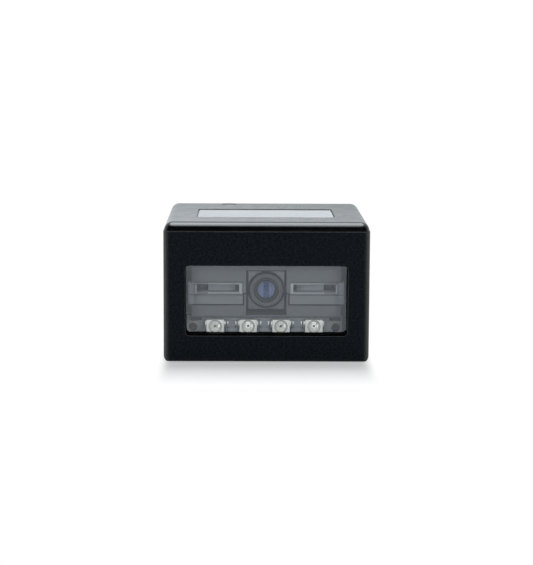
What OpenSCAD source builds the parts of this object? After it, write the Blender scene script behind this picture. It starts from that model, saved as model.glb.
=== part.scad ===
// Fixed barcode reader: cast case, screwed top cover, window and scan engine
// Millimetres. Origin at the middle of the base, +Z up, the window faces -Y

/* [Case] */
// Width over the two sides
body_w = 41; // [37:0.5:46]
// Depth from front face to rear face
body_d = 40; // [36:0.5:50]
// Height from base to the top of the cover
body_h = 28; // [25.5:0.5:34]
// Radius of the four upright edges
edge_r = 1.8; // [1.2:0.1:2.2]
// Radius of the edges round the base
base_r = 1.3; // [0.4:0.1:1.4]
// Thickness of the side walls
side_wall = 1.5; // [1.2:0.1:1.7]
// Thickness of the rear wall
rear_wall = 1.8; // [1.4:0.1:2.2]
// Thickness of the front wall
front_wall = 2.2; // [1.8:0.1:2.6]
// Thickness of the floor
floor_t = 2; // [1.8:0.1:2.4]

/* [Top cover] */
// Height of the cover above its seam
cover_h = 1.8; // [1.6:0.05:2.2]
// Step from the case wall in to the cover
cover_set = 0.14; // [0.05:0.01:0.3]
// Depth of the locating lip below the seam
lip_h = 1.4; // [0.8:0.1:1.8]
// Thickness of the locating lip
lip_t = 1; // [0.7:0.1:1.3]
// Clearance of the lip inside the walls
lip_fit = 0.15; // [0.05:0.05:0.25]

/* [Label] */
// Label width
label_w = 27.6; // [20:0.2:30]
// Label depth
label_d = 15.4; // [8:0.1:18]
// Label thickness
label_t = 0.15; // [0.1:0.05:0.25]
// Sideways offset of the label
label_x = -0.1; // [-2:0.1:2]
// Front face to the front edge of the label
label_front = 10.4; // [6:0.1:13]
// Depth of the pocket the label lies in
pocket_t = 0.3; // [0.25:0.05:0.5]
// Gap round the label in its pocket
pocket_gap = 0.2; // [0.1:0.05:0.4]

/* [Status light] */
// Diameter of the light pipe
pipe_d = 3; // [2:0.1:3.2]
// Sideways position of the light pipe
pipe_x = -7.8; // [-10:0.1:-6]
// Gap from the rear inside face to the light pipe
pipe_gap = 0.1; // [0.05:0.05:0.3]
// Clearance of the pipe in its hole
pipe_fit = 0.02; // [0.01:0.01:0.06]
// Set-back of the pipe below the cover top
pipe_low = 0.1; // [0:0.05:0.3]

/* [Cable entry] */
// Bore of the grommet
cable_d = 5; // [4:0.1:5.6]
// Diameter of the grommet neck in the rear wall
neck_d = 7.6; // [7:0.1:8.4]
// Diameter of the grommet flanges
flange_d = 10.4; // [9.8:0.1:11]
// Thickness of the outer flange
flange_out = 1.5; // [1:0.1:2.5]
// Thickness of the inner flange
flange_in = 1.2; // [0.8:0.1:1.6]
// Height of the cable axis above the base
cable_z = 11.5; // [10.5:0.1:12.5]

/* [Mounting] */
// Spacing of the base threads across the width
mount_x = 24; // [22:0.5:25]
// Spacing of the base threads along the depth
mount_y = 20; // [19.6:0.2:24]
// Core diameter of the M3 base threads
mount_core = 2.5; // [2.4:0.05:2.6]
// Boss left above the base threads
mount_roof = 0.6; // [0.4:0.1:1]
// Gap from the bosses up to the engine
boss_gap = 0.4; // [0.3:0.1:0.5]
// Diameter of the bosses
boss_d = 6; // [5:0.1:6.4]

/* [Cover screws] */
// Shank diameter
screw_d = 2; // [1.8:0.05:2]
// Head diameter
head_d = 3.6; // [3.2:0.1:3.7]
// Head height
head_h = 1.2; // [1:0.05:1.3]
// Depth of the counterbore in the base
head_low = 1.4; // [1.35:0.05:1.5]
// Hex socket of the heads, across its corners
hex_d = 1.75; // [1.5:0.05:1.8]
// Depth of the hex sockets
hex_deep = 0.7; // [0.5:0.05:0.8]
// Clearance round a screw in a plain hole
screw_gap = 0.15; // [0.1:0.05:0.2]
// Clearance round a screw in its thread
thread_fit = 0.02; // [0.01:0.01:0.04]
// Diameter of the screw columns and cover bosses
column_d = 4; // [3.8:0.05:4.1]
// Inside wall face to the column axis
column_in = 1.8; // [1.7:0.05:1.9]
// Front face to the front column axis
column_front = 12; // [11.8:0.1:13.4]
// Rear inside face to the rear column axis
column_rear = 2.2; // [2.1:0.05:2.6]
// Screw end below the cover top
screw_short = 1.6; // [1.4:0.1:2]
// Free depth beyond every screw end
screw_end = 0.5; // [0.3:0.05:0.6]

/* [Window] */
// Face left at each side of the opening
opening_side = 4.4; // [4:0.1:5.5]
// Height of the opening
opening_h = 14; // [12:0.2:14.4]
// Height of the opening centre above the base
opening_z = 12.35; // [12:0.05:12.6]
// Corner radius of the opening
opening_r = 0.8; // [0.4:0.1:1.5]
// Overlap of the pane behind the opening, each side
pane_lap = 1.2; // [1:0.1:1.4]
// Thickness of the pane
pane_t = 1.5; // [1:0.1:1.8]
// Thickness of the adhesive seal in front of the pane
seal_t = 0.5; // [0.3:0.05:0.7]

/* [Scan engine] */
// Gap from pane to engine face
engine_gap = 1; // [0.9:0.05:1.3]
// Gap from the engine sides to the screw columns
engine_side = 0.15; // [0.1:0.05:0.3]
// Room from the engine back to the rear inside face
rear_room = 14.2; // [13.8:0.1:14.8]
// Engine top above the pane top
engine_over = 0.05; // [0:0.05:0.3]
// Engine base below the lower edge of the pane
engine_under = 0.15; // [0:0.05:0.3]
// Depth of the wide front of the engine
bezel_d = 4.2; // [3.9:0.05:4.4]
// Step in at each side behind the wide front
waist = 0.9; // [0.7:0.05:1]
// Opening centre up to the lens axis
lens_up = 1.45; // [1.35:0.05:1.65]
// Strip of the engine face below the lens bay
face_strip = 0.5; // [0.4:0.05:0.7]
// Width of the rest under the engine
rest_w = 15; // [12:0.5:15.5]
// Depth of the rest under the engine
rest_d = 2; // [1.6:0.1:2.4]
// Gap from the light board back to the rest
rest_gap = 1; // [0.6:0.1:1.4]
// Thickness of the fixing lugs
lug_t = 1.5; // [1.2:0.05:1.6]
// Side of the engine body in to the middle of a lug
lug_in = 3.65; // [3.4:0.05:4]
// Reach of the lugs behind the engine
lug_out = 5.2; // [5:0.1:5.6]
// Width of the lugs
lug_w = 5; // [4.6:0.1:5.4]
// Lug end to its screw axis
lug_edge = 2; // [1.9:0.05:2.1]
// Diameter of the posts under the lugs
post_d = 4.4; // [4:0.1:4.6]
// Case left below the holes of the lug screws
lug_floor = 0.6; // [0.5:0.1:1]

/* [Lens] */
// Width of the lens holder
holder_w = 7.96; // [7.8:0.02:8]
// Lens axis to the lower side of the holder
holder_low = 3.9; // [3.7:0.05:4]
// Lens axis to the upper side of the holder
holder_high = 3.72; // [3.66:0.02:3.8]
// Set-back of the holder behind the engine face
holder_set = 0.6; // [0.3:0.05:0.9]
// Width of the raised front of the holder
holder_face = 7.2; // [7:0.05:7.5]
// Height of the raised front
holder_rise = 3; // [2:0.1:4]
// Gap round the barrel in the raised front
ring_gap = 0.36; // [0.34:0.01:0.4]
// Depth of the lens bay
bay_d = 9.8; // [9.6:0.1:10.4]
// Gap at each side of the holder
bay_gap = 0.08; // [0.04:0.02:0.14]
// Gap above the holder
bay_top = 0.3; // [0.1:0.02:0.34]
// Dark gap below the holder
bay_low = 1.2; // [0.8:0.05:1.3]
// Diameter of the lens barrel
barrel_d = 6.8; // [6.7:0.05:6.9]
// Clearance of the barrel in the holder
barrel_fit = 0.05; // [0.02:0.01:0.08]
// Set-back of the barrel behind the engine face
barrel_set = 0.15; // [0:0.05:0.3]
// Length of the barrel
barrel_l = 8.4; // [8:0.1:8.8]
// Edge chamfer of the barrel
barrel_edge = 0.15; // [0.1:0.05:0.25]
// Width of the front rim of the barrel
rim_w = 0.85; // [0.75:0.01:0.9]
// Width of the groove inside the rim
ring_groove = 0.3; // [0.24:0.01:0.34]
// Depth of the groove inside the rim
ring_deep = 0.9; // [0.6:0.05:1]
// Set-back of the cone inside the groove
cone_set = 0.15; // [0.1:0.05:0.2]
// Depth of the cone
cone_d = 0.35; // [0.25:0.05:0.45]
// Width of the step round the glass
glass_step = 0.2; // [0.16:0.01:0.22]
// Visible diameter of the front glass
glass_d = 3.6; // [3.2:0.1:3.8]
// Set-back of the glass in the barrel
glass_set = 1; // [0.8:0.05:1.2]
// Set-back of the rear glass in the barrel
rear_set = 0.2; // [0.1:0.05:0.3]
// Thickness of each glass at its edge
glass_edge = 0.9; // [0.7:0.05:1.1]
// Bulge of each glass
glass_bulge = 0.35; // [0.2:0.05:0.45]
// Extra radius of the glass seats
glass_seat = 0.3; // [0.2:0.05:0.4]
// Narrowing of the bore behind the barrel
bore_step = 1; // [0.6:0.1:1.6]
// Height of the notch between the bay and each aimer bar
notch_h = 0.26; // [0.2:0.02:0.4]
// Lens axis down to the upper side of the notches
notch_drop = 0.6; // [0.4:0.05:0.8]
// Depth of the notches
notch_d = 0.3; // [0.2:0.05:0.5]

/* [Aimer windows] */
// Lens axis to the inner end of each aimer bar
aimer_in = 4.7; // [4.6:0.05:4.9]
// Reach of each bar beyond the engine side
aimer_over = 0.6; // [0.2:0.05:0.7]
// Lens axis down to the lower edge of the bars
aimer_low = 2.85; // [2.7:0.05:3]
// Height of the bars
aimer_h = 4.5; // [4.3:0.05:4.6]
// Depth of the bars
aimer_d = 2.4; // [2:0.05:2.6]
// Height of the ledge along the bars
ledge_h = 1.7; // [1.4:0.05:1.9]
// Step from the ledge in to the upper part
ledge_step = 0.5; // [0.3:0.05:0.7]
// Chamfer along the upper front edge of the bars
aimer_edge = 0.3; // [0.2:0.05:0.4]
// Height of the slit behind the bars
slit_h = 1.6; // [1.4:0.05:1.7]
// Bar top edge to the top of the slit
slit_drop = 0.72; // [0.6:0.02:0.8]
// Inner end of the slit from the inner end of the bar
slit_in = 0.8; // [0.6:0.05:1]
// Outer end of the slit from the outer end of the bar
slit_out = 1.95; // [1.8:0.05:2.4]
// Depth of the slit behind the bar
slit_d = 3.4; // [3:0.1:3.6]
// Free length of the slit before the emitter
emitter_in = 0.75; // [0.6:0.05:0.9]
// Free length of the slit beyond the emitter
emitter_end = 1.95; // [1.6:0.05:2.6]
// Depth of the emitter
emitter_d = 1.6; // [1.4:0.1:2]
// Clearance round the emitter
emitter_fit = 0.05; // [0.02:0.01:0.08]
// Width of the shadow groove round the bars
groove_h = 0.27; // [0.2:0.01:0.35]
// Depth of the shadow groove
groove_d = 0.5; // [0.3:0.05:0.8]

/* [Light board] */
// Reach of the light board beyond the engine, each side
light_over = 0.65; // [0.4:0.05:0.9]
// Sideways offset of the light board
light_x = -0.3; // [-0.5:0.05:0]
// Thickness of the light board
light_t = 1; // [0.8:0.05:1.2]
// Set-back of the board behind the engine face
light_set = 2.7; // [2.6:0.05:2.9]
// Gap above and below the board
light_gap = 0.08; // [0.04:0.02:0.12]
// Middle of the light board down to the row of lamps
lamp_low = -0.15; // [-0.2:0.05:0.2]
// Lamp spacing
lamp_pitch = 6.65; // [6.4:0.05:6.9]
// Lamp package width
lamp_w = 3.5; // [3.3:0.05:3.6]
// Lamp package height
lamp_h = 2.7; // [2.6:0.05:2.8]
// Lamp package depth
lamp_d = 1.9; // [1.7:0.05:2]
// Diameter of the lamp dome
dome_d = 2.55; // [2.2:0.05:2.6]
// Depth of the cup under the dome
cup_d = 0.8; // [0.6:0.05:1]
// Height of the dome over the package
dome_h = 0.85; // [0.6:0.05:1]
// Edge of the square chip in each lamp
die_w = 0.4; // [0.3:0.05:0.6]
// Thickness of the chip
die_t = 0.15; // [0.1:0.02:0.2]
// Width of the lamp leads
lead_w = 0.35; // [0.25:0.05:0.5]
// Height of the lamp leads
lead_h = 1.9; // [1.4:0.1:2.2]
// Depth of the lamp leads
lead_d = 0.9; // [0.6:0.05:1.1]
// Length of the resistors
resistor_l = 2; // [1.6:0.05:2.1]
// Height of the resistors
resistor_h = 1.35; // [1.1:0.05:1.5]
// Thickness of the resistors
resistor_t = 0.55; // [0.4:0.05:0.7]
// Length of each resistor end cap
cap_l = 0.35; // [0.25:0.05:0.45]
// Lamp row up to the resistor row
resistor_up = 0.2; // [0:0.05:0.4]
// Side of the engine in to the board holes
peg_in = 0.58; // [0.5:0.02:0.74]
// Diameter of the plated board holes
peg_hole = 1.6; // [1.5:0.05:1.7]
// Thickness of the hole plating
plating_t = 0.12; // [0.08:0.01:0.16]
// Clearance round the pegs
peg_fit = 0.08; // [0.05:0.01:0.12]
// Lamp row down to the board holes
peg_drop = 0.35; // [0.2:0.05:0.5]
// Set-back of the peg ends in the board
peg_low = 0.35; // [0.2:0.05:0.5]
// Width of the hooks over the board ends
hook_w = 2.1; // [1.6:0.1:2.4]
// Set-back of the hooks behind the engine face
hook_set = 0.4; // [0.3:0.05:0.6]
// Height of the hooks
hook_h = 0.65; // [0.5:0.05:0.75]

/* [Sensor] */
// Thickness of the sensor board
sensor_board_t = 1; // [0.8:0.05:1.2]
// Gap from the lugs up to the sensor board
sensor_board_up = 0.3; // [0.2:0.05:0.5]
// Sensor package width
sensor_w = 16; // [14:0.2:16.4]
// Sensor package height
sensor_h = 6; // [5.4:0.1:6.2]
// Sensor package depth
sensor_d = 2; // [1.6:0.1:2.4]
// Thickness of the sensor glass
sensor_glass_t = 0.5; // [0.4:0.05:0.6]
// Margin of the glass inside the package
sensor_rim = 1; // [0.8:0.1:1.3]
// Width of the light tunnel
tunnel_w = 17; // [16.8:0.1:17.6]
// Height of the light tunnel
tunnel_h = 6.6; // [6.4:0.1:6.8]
// Wall between the lens bay and the tunnel
tunnel_wall = 1; // [0.8:0.1:1.4]
// Side of the engine body in to the sensor board screws
sensor_screw_in = 1.65; // [1.5:0.05:1.95]
// Engine top down to the sensor board screws
sensor_screw_drop = 3; // [2.6:0.1:3.4]
// Shank diameter of the sensor board screws
small_d = 1.4; // [1.2:0.05:1.6]
// Head diameter of the sensor board screws
small_head = 2.4; // [2.2:0.05:2.6]
// Head height of the sensor board screws
small_h = 0.8; // [0.6:0.05:1]
// Hex socket of the sensor board screws, across its corners
small_hex = 1.1; // [0.9:0.05:1.2]
// Depth of these hex sockets
small_deep = 0.5; // [0.3:0.05:0.55]
// Length of the sensor board screws in the engine
small_l = 4; // [3:0.1:5]

/* [Decoder board] */
// Gap from the cover lip down to the decoder board
board_low = 0.1; // [0.05:0.05:0.6]
// Thickness of the decoder board
board_t = 1.2; // [1:0.05:1.4]
// Gap from the decoder board to the walls
board_gap = 0.3; // [0.2:0.05:0.4]
// Front face to the front edge of the decoder board
board_front = 6.5; // [6:0.1:8]
// Sideways position of the processor
chip_x = 5; // [4.5:0.1:6]
// Edge of the square processor
chip_w = 10; // [8:0.5:11]
// Height of the processor
chip_h = 1; // [0.8:0.05:1.4]
// Sideways position of the memory chip
memory_x = -6.5; // [-8:0.1:-6]
// Length of the memory chip
memory_w = 8; // [6:0.5:9]
// Width of the memory chip
memory_d = 6; // [5:0.2:7]
// Height of the memory chip
memory_h = 0.9; // [0.8:0.05:1.2]
// Position of the crystal in front of the processor row
crystal_y = -9; // [-9.5:0.1:-8]
// Length of the crystal
crystal_w = 3.2; // [2.5:0.1:4]
// Width of the crystal
crystal_d = 2.5; // [2:0.1:3]
// Height of the crystal
crystal_h = 0.8; // [0.6:0.05:1.1]
// Length of the status lamp
status_w = 2; // [1.6:0.05:2.2]
// Width of the status lamp
status_d = 1.25; // [0.8:0.05:1.4]
// Height of the status lamp
status_h = 0.8; // [0.6:0.05:1]
// Gap from status lamp to light pipe
status_gap = 0.15; // [0.05:0.05:0.25]
// Diameter of the buzzer
buzzer_d = 9; // [8:0.1:9.2]
// Height of the buzzer
buzzer_h = 4.5; // [3.5:0.1:5]
// Diameter of the sound hole
buzzer_hole = 1.6; // [1:0.1:2.4]
// Depth of the sound hole
buzzer_deep = 1.8; // [1:0.1:2.4]
// Sideways position of the buzzer
buzzer_x = 10.6; // [10:0.1:10.8]
// Rear inside face to the buzzer axis
buzzer_rear = 7.1; // [6.8:0.1:7.4]
// Length of the cable socket
socket_w = 9.6; // [9:0.1:10]
// Width of the cable socket
socket_d = 4.6; // [4.2:0.1:5]
// Height of the cable socket
socket_h = 5.2; // [4.6:0.1:5.6]
// Sideways position of the cable socket
socket_x = -10; // [-10.2:0.1:-9.6]
// Gap from the cable socket to the rear screw columns
socket_gap = 0.1; // [0.1:0.05:0.4]
// Wall thickness of the cable socket
socket_wall = 0.7; // [0.5:0.05:0.9]
// Floor thickness of the cable socket
socket_floor = 1; // [0.8:0.05:1.2]
// Pin end below the mouth of the cable socket
pin_short = 1; // [0.6:0.1:1.4]
// Pin edge in the cable socket
pin_w = 0.5; // [0.4:0.05:0.6]
// Pin spacing in the cable socket
pin_pitch = 1.25; // [1.2:0.05:1.4]

/* [Flex cable] */
// Width of the flat flex cable
flex_w = 8; // [6:0.2:8.4]
// Thickness of the flat flex cable
flex_t = 0.3; // [0.2:0.02:0.34]
// Inside bend radius of the flex cable
flex_r = 1.35; // [1.2:0.05:1.5]
// Clearance of the flex cable in its connectors
flex_fit = 0.05; // [0.02:0.01:0.08]
// Length of flex cable inside each connector
flex_in = 1.2; // [0.8:0.05:1.4]
// Height of the connector on the sensor board
clip_h = 2.6; // [2.4:0.1:3]
// Thickness of both connectors
clip_t = 1.4; // [1.3:0.05:1.5]
// Length of the connector on the decoder board
clip_l = 3.4; // [3:0.1:3.6]
// Wall of the connectors beside the flex cable
clip_side = 0.7; // [0.5:0.05:0.9]
// Gap from the bend to the connector on the decoder board
clip_lead = 0.5; // [0.3:0.05:0.8]
// Engine top down to the connector on the sensor board
clip_drop = 3.2; // [2.8:0.1:3.6]

/* [Hidden] */
$fn = 48;
// Reach of every cut past the face it opens
past = 1;
// Reach of joined shapes into each other
sink = 0.5;
seam_z = body_h - cover_h;
front_y = -body_d / 2;
rear_y = body_d / 2;
in_x = body_w / 2 - side_wall;
in_front = front_y + front_wall;
in_rear = rear_y - rear_wall;
cover_w = body_w - 2 * cover_set;
cover_d = body_d - 2 * cover_set;
cover_edge = 0.05;
cover_r = cover_h - cover_edge;
lip_w = 2 * (in_x - lip_fit);
lip_front = in_front + lip_fit;
lip_rear = in_rear - lip_fit;
label_y = front_y + label_front + label_d / 2;
label_z = body_h - pocket_t;
pipe_y = in_rear - pipe_d / 2 - pipe_gap;
column_x = in_x - column_in;
column_y1 = front_y + column_front;
column_y2 = in_rear - column_rear;
opening_w = body_w - 2 * opening_side;
pane_w = opening_w + 2 * pane_lap;
pane_h = opening_h + 2 * pane_lap;
seal_y = in_front;
pane_y = seal_y + seal_t;
face_y = pane_y + pane_t + engine_gap;
engine_z = opening_z - pane_h / 2 - engine_under;
engine_w = 2 * (column_x - column_d / 2 - engine_side);
engine_top = opening_z + pane_h / 2 + engine_over;
engine_back = in_rear - rear_room;
body_x = engine_w / 2 - waist;
bezel_back = face_y + bezel_d;
lens_z = opening_z + lens_up;
bay_w = holder_w + 2 * bay_gap;
bay_z1 = lens_z - holder_low - bay_low;
face_z = bay_z1 - face_strip;
bay_z2 = lens_z + holder_high + bay_top;
bay_y = face_y + bay_d;
holder_y = face_y + holder_set;
barrel_y = face_y + barrel_set;
glass_r = glass_d / 2 + glass_seat;
glass_ball = (glass_r * glass_r + glass_bulge * glass_bulge) / (2 * glass_bulge);
glass_y = barrel_y + glass_set;
rear_glass_y = barrel_y + barrel_l - rear_set - glass_edge;
aimer_z = lens_z - aimer_low;
aimer_l = engine_w / 2 + aimer_over - aimer_in;
aimer_back = face_y + aimer_d;
slit_z = aimer_z + aimer_h - slit_drop - slit_h;
slit_x = aimer_in + slit_in;
slit_l = aimer_l - slit_in - slit_out;
emitter_l = slit_l - emitter_in - emitter_end;
notch_z = lens_z - notch_drop;
light_w = engine_w + 2 * light_over;
light_y = face_y + light_set;
light_back = light_y + light_t;
light_z1 = engine_z + light_gap;
light_z2 = face_z - light_gap;
lamp_z = (light_z1 + light_z2) / 2 - lamp_low;
lamp_y = light_y - lamp_d;
dome_ball = (dome_d * dome_d / 4 + dome_h * dome_h) / (2 * dome_h);
lamp_xs = [for (i = [-1.5:1:1.5]) light_x + i * lamp_pitch];
resistor_xs = [for (i = [-1:1:1]) light_x + i * lamp_pitch];
peg_xs = [for (s = [-1, 1]) light_x + s * (engine_w / 2 - peg_in)];
plating_d = peg_hole + 2 * plating_t;
peg_d = peg_hole - 2 * peg_fit;
peg_z = lamp_z - peg_drop;
lug_x = body_x - lug_in;
lug_screw = engine_z - lug_floor;
boss_top = engine_z - boss_gap;
lug_y = engine_back + lug_out - lug_edge;
sensor_board_z = engine_z + lug_t + sensor_board_up;
sensor_back = engine_back + sensor_board_t;
sensor_screw_x = body_x - sensor_screw_in;
sensor_screw_z = engine_top - sensor_screw_drop;
board_top = seam_z - lip_h - board_low;
board_z = board_top - board_t;
board_w = 2 * (in_x - board_gap);
board_y1 = front_y + board_front;
board_y2 = in_rear - board_gap;
socket_y = column_y2 - column_d / 2 - socket_gap - socket_d / 2;
pin_l = socket_h - socket_floor - pin_short;
buzzer_y = in_rear - buzzer_rear;
flex_mid = flex_r + flex_t / 2;
clip_mid = clip_t / 2;
flex_y = sensor_back + clip_mid;
flex_z = board_z - clip_mid;
flex_bend_z = flex_z - flex_mid;
clip_z2 = engine_top - clip_drop;
clip_z1 = clip_z2 - clip_h;
clip_y1 = flex_y + flex_mid + clip_lead;
clip_w = flex_w + 2 * clip_side;

// Flat rounded rectangle about its own middle
module rounded(w, d, r) {
    square([w - 2 * r, d], center = true);
    square([w, d - 2 * r], center = true);
    for (x = [-1, 1], y = [-1, 1])
        translate([x * (w / 2 - r), y * (d / 2 - r)]) circle(r);
}

// Upright outline with both lower corners rounded, base line at 0
module base_outline(w, h, r) {
    translate([-w / 2 + r, 0]) square([w - 2 * r, h]);
    translate([-w / 2, r]) square([w, h - r]);
    for (x = [-1, 1]) translate([x * (w / 2 - r), r]) circle(r);
}

// Block from its least corner to its greatest corner
module block(a, b) {
    translate(a) cube(b - a);
}

// Round bar along +Y from a point
module bar_y(x, y, z, d, l) {
    translate([x, y, z]) rotate([-90, 0, 0]) cylinder(d = d, h = l);
}

// Positions of the four cover screws
module at_columns() {
    for (x = [-column_x, column_x], y = [column_y1, column_y2]) translate([x, y, 0]) children();
}

// Positions of the four base threads
module at_mounts() {
    for (x = [-mount_x / 2, mount_x / 2], y = [-mount_y / 2, mount_y / 2])
        translate([x, y, 0]) children();
}

// Shape drawn on the +X side, mirrored where s is negative
module mirrored(s) {
    mirror([s < 0 ? 1 : 0, 0, 0]) children();
}

module case_solid() {
    intersection() {
        linear_extrude(seam_z) rounded(body_w, body_d, edge_r);
        rotate([90, 0, 0]) linear_extrude(body_d + 2 * past, center = true)
            base_outline(body_w, seam_z, base_r);
        rotate([90, 0, 90]) linear_extrude(body_w + 2 * past, center = true)
            base_outline(body_d, seam_z, base_r);
    }
}

module housing() {
    color([0.06, 0.065, 0.07]) difference() {
        union() {
            difference() {
                case_solid();
                block([-in_x, in_front, floor_t], [in_x, in_rear, body_h]);
            }
            // Screw columns, tied to the walls
            intersection() {
                at_columns() translate([0, 0, floor_t / 2])
                    cylinder(d = column_d, h = board_z - floor_t / 2);
                block([-in_x - sink, in_front - sink, 0], [in_x + sink, in_rear + sink, body_h]);
            }
            at_mounts() translate([0, 0, floor_t / 2])
                cylinder(d = boss_d, h = boss_top - floor_t / 2);
            for (x = [-lug_x, lug_x]) translate([x, lug_y, floor_t / 2])
                cylinder(d = post_d, h = engine_z - floor_t / 2);
            block([-rest_w / 2, light_back + rest_gap, floor_t / 2],
                [rest_w / 2, light_back + rest_gap + rest_d, engine_z]);
        }
        translate([0, in_front + past, opening_z]) rotate([90, 0, 0])
            linear_extrude(front_wall + 2 * past) rounded(opening_w, opening_h, opening_r);
        at_columns() {
            translate([0, 0, -past]) cylinder(d = screw_d + 2 * screw_gap, h = body_h);
            translate([0, 0, -past]) cylinder(d = head_d + 2 * screw_gap, h = past + head_low);
        }
        at_mounts() translate([0, 0, -past])
            cylinder(d = mount_core, h = past + boss_top - mount_roof);
        for (x = [-lug_x, lug_x]) translate([x, lug_y, engine_z - lug_screw])
            cylinder(d = screw_d + 2 * thread_fit, h = lug_screw + past);
        bar_y(0, in_rear - past, cable_z, neck_d, rear_wall + 2 * past);
    }
}

// Cover plate with its edges and corners rounded over, flat at the seam
module cover_solid() {
    x1 = cover_w / 2 - cover_r;
    y1 = cover_d / 2 - cover_r;
    z1 = body_h - cover_r;
    difference() {
        union() {
            block([-x1, -y1, seam_z - past], [x1, y1, body_h]);
            translate([0, 0, seam_z - past]) linear_extrude(cover_edge + past)
                rounded(cover_w, cover_d, cover_r);
            for (x = [-x1, x1]) bar_y(x, -y1, z1, 2 * cover_r, 2 * y1);
            for (y = [-y1, y1]) translate([-x1, y, z1]) rotate([0, 90, 0])
                cylinder(r = cover_r, h = 2 * x1);
            for (x = [-x1, x1], y = [-y1, y1]) translate([x, y, z1]) sphere(cover_r);
        }
        block([-body_w, -body_d, 0], [body_w, body_d, seam_z]);
    }
}

module top_cover() {
    color([0.07, 0.075, 0.08]) difference() {
        union() {
            cover_solid();
            // Locating lip and screw bosses below the seam
            difference() {
                block([-lip_w / 2, lip_front, seam_z - lip_h], [lip_w / 2, lip_rear, seam_z + sink]);
                block([lip_t - lip_w / 2, lip_front + lip_t, seam_z - lip_h - past],
                    [lip_w / 2 - lip_t, lip_rear - lip_t, seam_z]);
            }
            intersection() {
                at_columns() translate([0, 0, board_top])
                    cylinder(d = column_d, h = seam_z + sink - board_top);
                block([-lip_w / 2, lip_front, 0], [lip_w / 2, lip_rear, body_h]);
            }
        }
        translate([label_x, label_y, label_z]) linear_extrude(pocket_t + past)
            square([label_w + 2 * pocket_gap, label_d + 2 * pocket_gap], center = true);
        translate([pipe_x, pipe_y, board_top]) cylinder(d = pipe_d + 2 * pipe_fit, h = body_h);
        at_columns() translate([0, 0, board_top - past])
            cylinder(d = screw_d + 2 * thread_fit, h = body_h - screw_short + screw_end - board_top + past);
    }
}

module window_seal() {
    color([0.05, 0.05, 0.05]) translate([0, pane_y, opening_z]) rotate([90, 0, 0])
        linear_extrude(seal_t) difference() {
            square([pane_w, pane_h], center = true);
            rounded(opening_w, opening_h, opening_r);
        }
}

module window_pane() {
    color([0.85, 0.88, 0.9, 0.25])
        block([-pane_w / 2, pane_y, opening_z - pane_h / 2],
            [pane_w / 2, pane_y + pane_t, opening_z + pane_h / 2]);
}

module top_label() {
    color([0.83, 0.85, 0.87])
        block([label_x - label_w / 2, label_y - label_d / 2, label_z],
            [label_x + label_w / 2, label_y + label_d / 2, label_z + label_t]);
}

module light_pipe() {
    color([0.45, 0.46, 0.46, 0.8])
        translate([pipe_x, pipe_y, board_top + status_h + status_gap])
            cylinder(d = pipe_d, h = body_h - pipe_low - board_top - status_h - status_gap);
}

module cable_grommet() {
    color([0.04, 0.04, 0.04]) difference() {
        union() {
            bar_y(0, in_rear - flange_in, cable_z, flange_d, flange_in);
            bar_y(0, in_rear - flange_in, cable_z, neck_d, flange_in + rear_wall + flange_out);
            bar_y(0, rear_y, cable_z, flange_d, flange_out);
        }
        bar_y(0, in_rear - flange_in - past, cable_z, cable_d,
            rear_wall + flange_in + flange_out + 2 * past);
    }
}

module cover_screws() {
    color([0.16, 0.16, 0.17]) at_columns() difference() {
        union() {
            translate([0, 0, head_low - head_h]) cylinder(d = head_d, h = head_h);
            translate([0, 0, head_low - sink])
                cylinder(d = screw_d, h = body_h - screw_short - head_low + sink);
        }
        translate([0, 0, head_low - head_h - past]) cylinder(d = hex_d, h = past + hex_deep, $fn = 6);
    }
}

module engine_housing() {
    color([0.1, 0.1, 0.105]) difference() {
        union() {
            block([-engine_w / 2, face_y, face_z], [engine_w / 2, bezel_back, engine_top]);
            block([-engine_w / 2, light_back, engine_z], [engine_w / 2, bezel_back + sink, face_z + sink]);
            block([-body_x, bezel_back - sink, engine_z], [body_x, engine_back, engine_top]);
            for (x = [-lug_x, lug_x])
                block([x - lug_w / 2, engine_back - sink, engine_z],
                    [x + lug_w / 2, engine_back + lug_out, engine_z + lug_t]);
            // Hooks over the light board ends and pegs through its holes
            for (s = [-1, 1]) mirrored(s)
                block([engine_w / 2 - hook_w, face_y + hook_set, face_z - hook_h],
                    [engine_w / 2, light_y, face_z + sink]);
            for (x = peg_xs) bar_y(x, light_y + peg_low, peg_z, peg_d, light_t);
        }
        block([-bay_w / 2, face_y - past, bay_z1], [bay_w / 2, bay_y, bay_z2]);
        bar_y(0, bay_y - past, lens_z, barrel_d - bore_step, tunnel_wall + 2 * past);
        block([-tunnel_w / 2, bay_y + tunnel_wall, lens_z - tunnel_h / 2],
            [tunnel_w / 2, engine_back + past, lens_z + tunnel_h / 2]);
        for (s = [-1, 1]) mirrored(s) {
            aimer_cut();
            slit();
            bar_y(sensor_screw_x, engine_back - small_l, sensor_screw_z,
                small_d + 2 * thread_fit, small_l + past);
            translate([lug_x, lug_y, engine_z - past])
                cylinder(d = screw_d + 2 * screw_gap, h = lug_t + 2 * past);
        }
    }
}

// Seat of the aimer bar, shadow groove round its lower inner corner, notch to the lens bay
module aimer_cut() {
    aimer_end = aimer_in + aimer_l + past;
    block([aimer_in, face_y - past, aimer_z], [aimer_end, aimer_back, aimer_z + aimer_h]);
    block([aimer_in - groove_h, face_y - past, aimer_z - groove_h],
        [aimer_end, face_y + groove_d, aimer_z + sink]);
    block([aimer_in - groove_h, face_y - past, aimer_z], [aimer_in + sink, face_y + groove_d, notch_z]);
    block([bay_w / 2 - past, face_y - past, notch_z - notch_h],
        [aimer_in + sink, face_y + notch_d, notch_z]);
}

// Slit behind the aimer bar
module slit() {
    block([slit_x, aimer_back - sink, slit_z], [slit_x + slit_l, aimer_back + slit_d, slit_z + slit_h]);
}

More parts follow.
